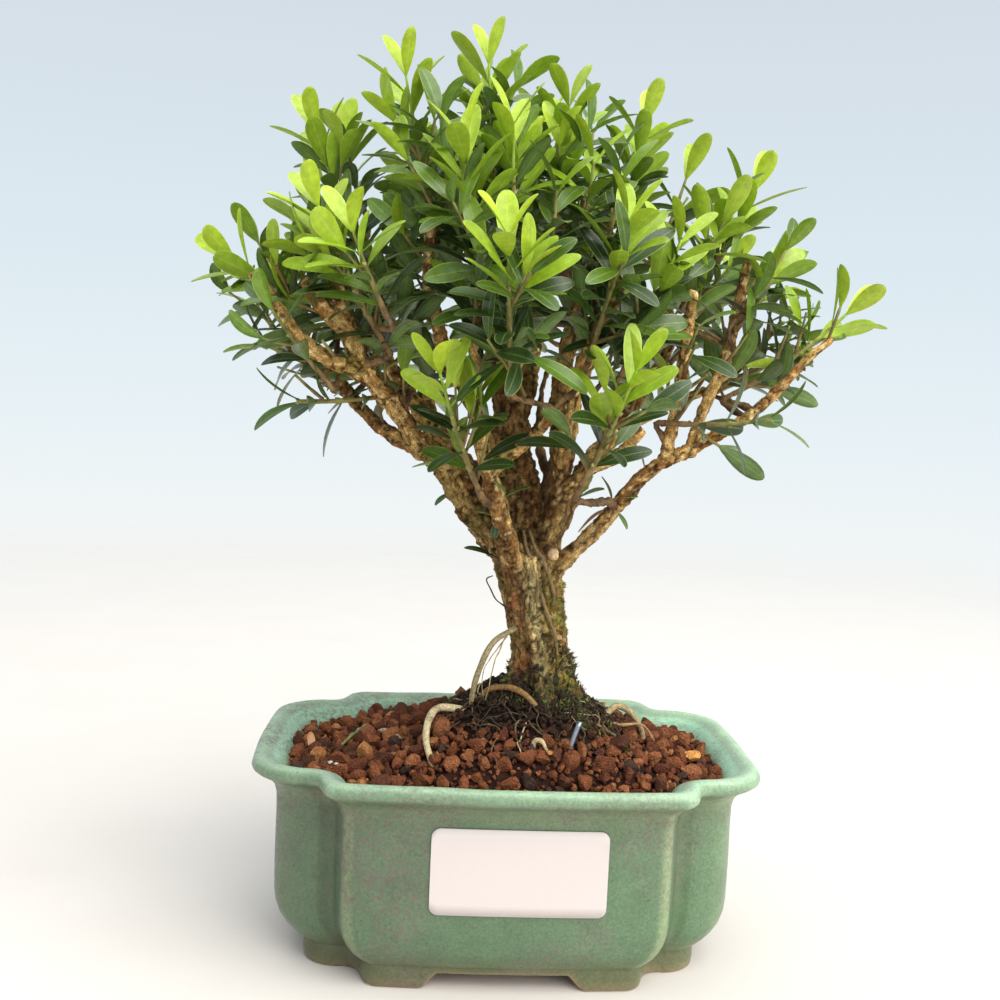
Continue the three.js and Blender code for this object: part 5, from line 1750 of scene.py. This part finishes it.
ROOTS = [
    ([(2, -5, 98), (-5, -8, 94), (-9, -9, 86), (-11, -8, 77), (-11, -5, 66)], 0.95, 0.85, rgb(150, 134, 98)),
    (
        [(2, -2, 68), (-8, -5, 71), (-7, -6, 77.5), (-1, -10.5, 80.5), (3.5, -13.5, 80), (7.5, -15.5, 77),
         (10.3, -14, 72), (10, -9, 66)],
        1.15, 0.8, rgb(142, 104, 56),
    ),
    (
        [(1, -4, 67), (-9, -6, 71), (-17, -7, 72.5), (-21.5, -9.5, 73), (-24, -15.5, 71), (-24.6, -24, 67),
         (-22.5, -30.5, 61.5), (-21.5, -33, 56)],
        1.4, 0.8, rgb(196, 178, 138),
    ),
    (
        [(18, -2, 65), (27, -4, 68), (31.4, -4, 71.5), (35, -2, 73.5), (39.5, -2, 71.5), (43, -4, 66),
         (44, -5, 59)],
        1.2, 0.8, rgb(168, 146, 106),
    ),
]
TIE_WIRE = ([(15.8, -28.4, 57), (17.9, -28.2, 68), (20.3, -27, 75)], 0.75)


# Thin roots that run down the trunk and over the soil, and dry wisps: points, radius and colour.
STRAND, DRY, DUSK = rgb(132, 108, 70), rgb(188, 168, 124), rgb(70, 52, 36)
STRANDS = [
    (
        [
            (2.6, -5, 128), (3.4, -9, 124), (5.2, -10.2, 119), (7.2, -10, 114), (7.7, -9.7, 109),
            (7.4, -6, 105),
        ],
        0.7, STRAND,
    ),
    (
        [
            (4.6, -5, 128), (6, -10, 123.4), (9, -10.6, 119.6), (11.2, -9.7, 114.4), (12.6, -9.2, 108),
            (12, -5, 104),
        ],
        0.65, STRAND,
    ),
    (
        [(8, -6, 112), (9.4, -9.6, 107.5), (12, -9.5, 101), (14.2, -8.8, 93.6), (15, -6, 87), (15, -3, 84)],
        0.65, STRAND,
    ),
    (
        [(-1.6, -3, 104), (-4.4, -3.5, 106), (-6.6, -3, 109.5), (-7.6, -3, 112.4), (-5.9, -3, 113.6)],
        0.3, DUSK,
    ),
    ([(0, -6, 98), (-2.6, -7.5, 93), (-4.6, -8, 87), (-6, -8.6, 80), (-7.5, -9, 74)], 0.22, DRY),
    ([(-1, -5, 95), (-4.5, -6, 90.5), (-7.5, -7, 84.5), (-8, -7.5, 78), (-6.5, -8, 73)], 0.2, DRY),
    ([(6.7, -28.8, 67), (7.4, -29.2, 69.4), (8.9, -29.8, 69.6), (10.4, -31, 68), (12, -32.2, 65)], 0.8, DRY),
    ([(-40.7, 6, 59), (-39, 3, 61.5), (-35.9, -2.8, 63), (-30.2, -9, 62)], 1.0, DRY),
    ([(-42, 25.5, 59), (-48.5, -0.2, 60.4), (-52.4, -7.8, 58)], 0.7, rgb(120, 122, 60)),
    ([(-4, -22, 68), (-9, -26, 67.5), (-11, -30, 64.5), (-10.6, -34, 61.5)], 0.55, rgb(132, 124, 70)),
    ([(28, -6, 70), (36, -8, 69), (43, -6, 68.6), (47, -8, 63)], 0.6, rgb(150, 120, 80)),
    ([(22, -12, 73), (30, -15, 69), (36, -14, 66), (41, -17, 62)], 0.5, STRAND),
]


# The pale end of a limb that was cut off at the fork.
STUB = [(10.5, -5, 121.4), (11.6, -8.5, 121.8), (12, -11.4, 122)]


def add_strand(shape, points, radius, tint, seed):
    line = smooth_line(points, 8 * len(points))
    line = line + 0.25 * np.column_stack([wobble(line, 3, seed + k) for k in range(3)])
    radii = np.linspace(radius, 0.6 * radius, len(line)) * (1 + 0.2 * wobble(line, 1.6, seed))
    p, faces = tube(line, radii, 6)
    shape.add(p, faces, tint * (0.9 + 0.3 * wobble(p, 2, seed + 3))[:, None])


def add_hair_roots(shape, random):
    """Fine roots that wander over the dark earth round the trunk."""
    for n in range(120):
        turn = random.uniform(0, 2 * math.pi)
        outward = np.array([1.2 * math.cos(turn), math.sin(turn)])
        spot = np.array([TRUNK_X - 2, 0]) + random.uniform(8, 24) * outward
        heading = turn + random.normal(0, 0.9)
        line = []
        steps = random.integers(5, 10)
        for i in range(steps):
            hump = random.uniform(0.1, 0.5) + 1.4 * random.uniform() * math.sin(math.pi * i / (steps - 1))
            line.append([*spot, soil_height(*spot) + hump])
            heading += random.normal(0, 0.4)
            spot = spot + 2.2 * np.array([math.cos(heading), math.sin(heading)])
        if not inside(np.array(line)[:, :2], plan_at(7)).all():
            continue
        tint = [DUSK, DUSK * 0.6, STRAND * 0.7, DRY][random.choice(4, p=[0.35, 0.3, 0.2, 0.15])]
        add_strand(shape, line, random.uniform(0.12, 0.34), tint, 500 + n)


def make_roots():
    shape = Shape()
    for n, (points, radius, tint) in enumerate(STRANDS):
        add_strand(shape, points, radius, tint, 80 + n)
    add_hair_roots(shape, np.random.default_rng(21))
    for points, start, end, tint in ROOTS:
        line = smooth_line(points, 40)
        radii = np.linspace(start, end, 41) * (1 + 0.12 * wobble(line, 4, 71))
        p, faces = tube(line, radii, 10)
        mottled = lerp(tint, rgb(120, 108, 66), (0.5 * ramp(wobble(p, 3, 72), 0, 0.9))[:, None])
        shape.add(p, faces, mottled)
    line = smooth_line(STUB, 6)
    p, faces = tube(line, [2.3, 2.3, 2.2, 2.1, 2.0, 1.8, 1.1], 12)
    p = p + 0.3 * np.column_stack([wobble(p, 1.2, 41 + k) for k in range(3)])
    cut = np.repeat([0, 0, 0, 0, 0.3, 1, 1], 12)[:, None]
    wood = lerp(rgb(120, 88, 56), rgb(214, 180, 132), cut)
    shape.add(p, faces, wood * (0.9 + 0.3 * wobble(p, 1, 44))[:, None])
    shape.build("surface_roots", "bark", look="root")


# Moss tufts on the earth: x, y, the tuft's spread and how many blades.
TUFTS = [
    (19, -13, 5, 260), (21, -7, 4, 300), (24, -16, 3, 110), (13, -14, 4, 160), (25, -2, 4, 140),
    (4, -13, 3, 90), (-6, -8, 3.5, 110), (30, -12, 4, 70), (20, 12, 6, 260), (0, 14, 6, 200),
    (-30, -10, 3, 30), (-44, -2, 3, 24), (36, -20, 2.5, 24), (-16, 8, 5, 80),
]
MOSS = [rgb(84, 92, 34), rgb(58, 62, 28), rgb(122, 142, 44), rgb(66, 48, 28)]


def add_spike(shape, random, root, way, height, tint):
    """One tiny three-sided blade of moss."""
    side = unit(np.cross(way, random.normal(size=3)))
    other = np.cross(way, side)
    width = 0.13 + 0.07 * height
    turns = 2 * np.pi * np.arange(3) / 3
    ring = [root + width * (side * math.cos(t) + other * math.sin(t)) for t in turns]
    shape.add([*ring, root + way * height], [[0, 1, 3], [1, 2, 3], [2, 0, 3], [2, 1, 0]], tint)


def make_moss(points, normals, moss):
    """Moss on the earth round the trunk, and a short fuzz of it over the trunk's mossy side."""
    random = np.random.default_rng(31)
    shape = Shape()
    for x, y, spread, count in TUFTS:
        for spot in random.normal(size=(count, 2)) * spread * 0.55 + [x, y]:
            root = np.array([*spot, soil_height(*spot) + 0.2])
            way = unit([*random.normal(0, 0.7, 2), 1.0])
            clump = wobble(root[None], 4, 15)[0]
            tint = MOSS[random.choice(4, p=[0.25, 0.3, 0.1, 0.35])] * random.uniform(0.6, 1.2)
            add_spike(shape, random, root, way, random.uniform(0.6, 1.7) * (1.2 + 0.7 * clump), tint)
    clods = [lump(1, 500 + i) for i in range(8)]
    reach = 86 + 10 * band(turn_about_trunk(points), -38, 36) + 3 * wobble(points, 3, 17)
    foot = np.flatnonzero((points[:, 2] < reach) & (points[:, 1] < 6) & (wobble(points, 4, 16) > -0.3))
    for i in random.choice(foot, min(850, len(foot)), replace=False):
        p, faces = clods[random.integers(len(clods))]
        tint = MOSS[random.choice(4, p=[0.2, 0.3, 0.05, 0.45])] * random.uniform(0.4, 1.0)
        shape.add(p * random.uniform(0.4, 1.2) + points[i], faces, tint)
        for _ in range(3):
            way = unit(normals[i] + 0.7 * random.normal(size=3) + 0.4 * UP)
            add_spike(shape, random, points[i], way, random.uniform(1.0, 2.4), tint * 1.15)
    mossy = np.flatnonzero((moss > 0.45) & (points[:, 2] > 84))
    for i in random.choice(mossy, min(2600, len(mossy)), replace=False):
        way = unit(normals[i] + 0.5 * random.normal(size=3) + 0.3 * UP)
        tint = MOSS[random.choice(3)] * random.uniform(0.8, 1.3)
        add_spike(shape, random, points[i] - 0.2 * normals[i], way, random.uniform(0.4, 1.0), tint)
    shape.build("moss", "bark", look="moss")


def make_wire():
    points, radius = TIE_WIRE
    line = smooth_line(points, 12)
    shape = Shape()
    shape.add(*tube(line, radius, 14), rgb(150, 156, 166))
    shape.build("tie_wire", "wire", ["tie_wire_end"])


def make_screens():
    for node in ("drain_screen_left", "drain_screen_right"):
        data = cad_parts[node].data
        data.materials.clear()
        data.materials.append(LOOKS["screen"])


# Floor, light and air


FLOOR = {"radius": 3, "solid": 0.3, "gone": 1.1}


def make_stage():
    """A pale floor that fades into the air round it, so that no horizon shows."""
    mesh = bmesh.new()
    bmesh.ops.create_circle(mesh, cap_ends=True, segments=96, radius=FLOOR["radius"])
    data = bpy.data.meshes.new("floor")
    mesh.to_mesh(data)
    mesh.free()
    look = Look("floor", Roughness=0.7, Specular_IOR_Level=0.1)
    far = look.add("ShaderNodeVectorMath", {0: look.place}, operation="LENGTH").outputs["Value"]
    mottle = look.map(look.noise(60, 3.0), 0.3, 0.7, 0.0, 1.0)
    look.set("Base Color", look.mix(mottle, rgb(216, 209, 201), rgb(219, 212, 205)))
    look.set("Alpha", look.map(far, FLOOR["solid"], FLOOR["gone"], 1.0, 0.0))
    look.bump(look.noise(4, 2.0), 0.02)
    data.materials.append(look.material)
    floor = bpy.data.objects.new("floor", data)
    floor.location.z = -0.0002
    bpy.context.scene.collection.objects.link(floor)


def make_light(name, place_mm, target_mm, size, watts, colour):
    data = bpy.data.lights.new(name, "AREA")
    data.shape = "DISK"
    data.size = size
    data.energy = watts
    data.color = colour
    lamp = bpy.data.objects.new(name, data)
    place_m, target = Vector(place_mm) * MM, Vector(target_mm) * MM
    aim = (place_m - target).to_track_quat("Z", "Y").to_matrix().to_4x4()
    lamp.matrix_world = Matrix.Translation(place_m) @ aim
    bpy.context.scene.collection.objects.link(lamp)


# The air's colour by the upright part of the direction: cream below, white at eye level, blue above.
AIR = [
    (-0.45, rgb(254, 249, 243)), (-0.26, rgb(251, 248, 243)), (-0.12, rgb(242, 246, 246)),
    (-0.02, rgb(231, 241, 246)), (0.1, rgb(221, 234, 241)), (0.3, rgb(211, 221, 230)),
    (1.0, rgb(218, 226, 234)),
]


def make_air():
    world = bpy.data.worlds.new("air")
    bpy.context.scene.world = world
    world.use_nodes = True
    tree = world.node_tree
    coordinates = tree.nodes.new("ShaderNodeTexCoord")
    split = tree.nodes.new("ShaderNodeSeparateXYZ")
    tree.links.new(coordinates.outputs["Generated"], split.inputs[0])
    share = tree.nodes.new("ShaderNodeMapRange")
    share.inputs["From Min"].default_value = -1
    tree.links.new(split.outputs["Z"], share.inputs["Value"])
    height = tree.nodes.new("ShaderNodeValToRGB")
    stops = height.color_ramp.elements
    while len(stops) < len(AIR):
        stops.new(0.5)
    for stop, (z, colour) in zip(stops, AIR):
        stop.position = (z + 1) / 2
        stop.color = (*colour, 1)
    tree.links.new(share.outputs["Result"], height.inputs[0])
    tree.links.new(height.outputs[0], tree.nodes["Background"].inputs["Color"])
    tree.nodes["Background"].inputs["Strength"].default_value = 1.0


def make_lights():
    make_light("softbox", (800, -900, 1200), (0, 0, 150), 2.2, 46, (1.0, 0.98, 0.94))
    make_light("overhead", (-150, 150, 1500), (0, 0, 150), 1.4, 9, (1.0, 0.99, 0.97))


make_camera()
make_air()
make_lights()
make_stage()
make_pot()
make_label()
bark = make_wood()
make_crown()
make_soil()
make_roots()
make_moss(*bark)
make_wire()
make_screens()

bpy.context.scene.view_settings.view_transform = "Standard"
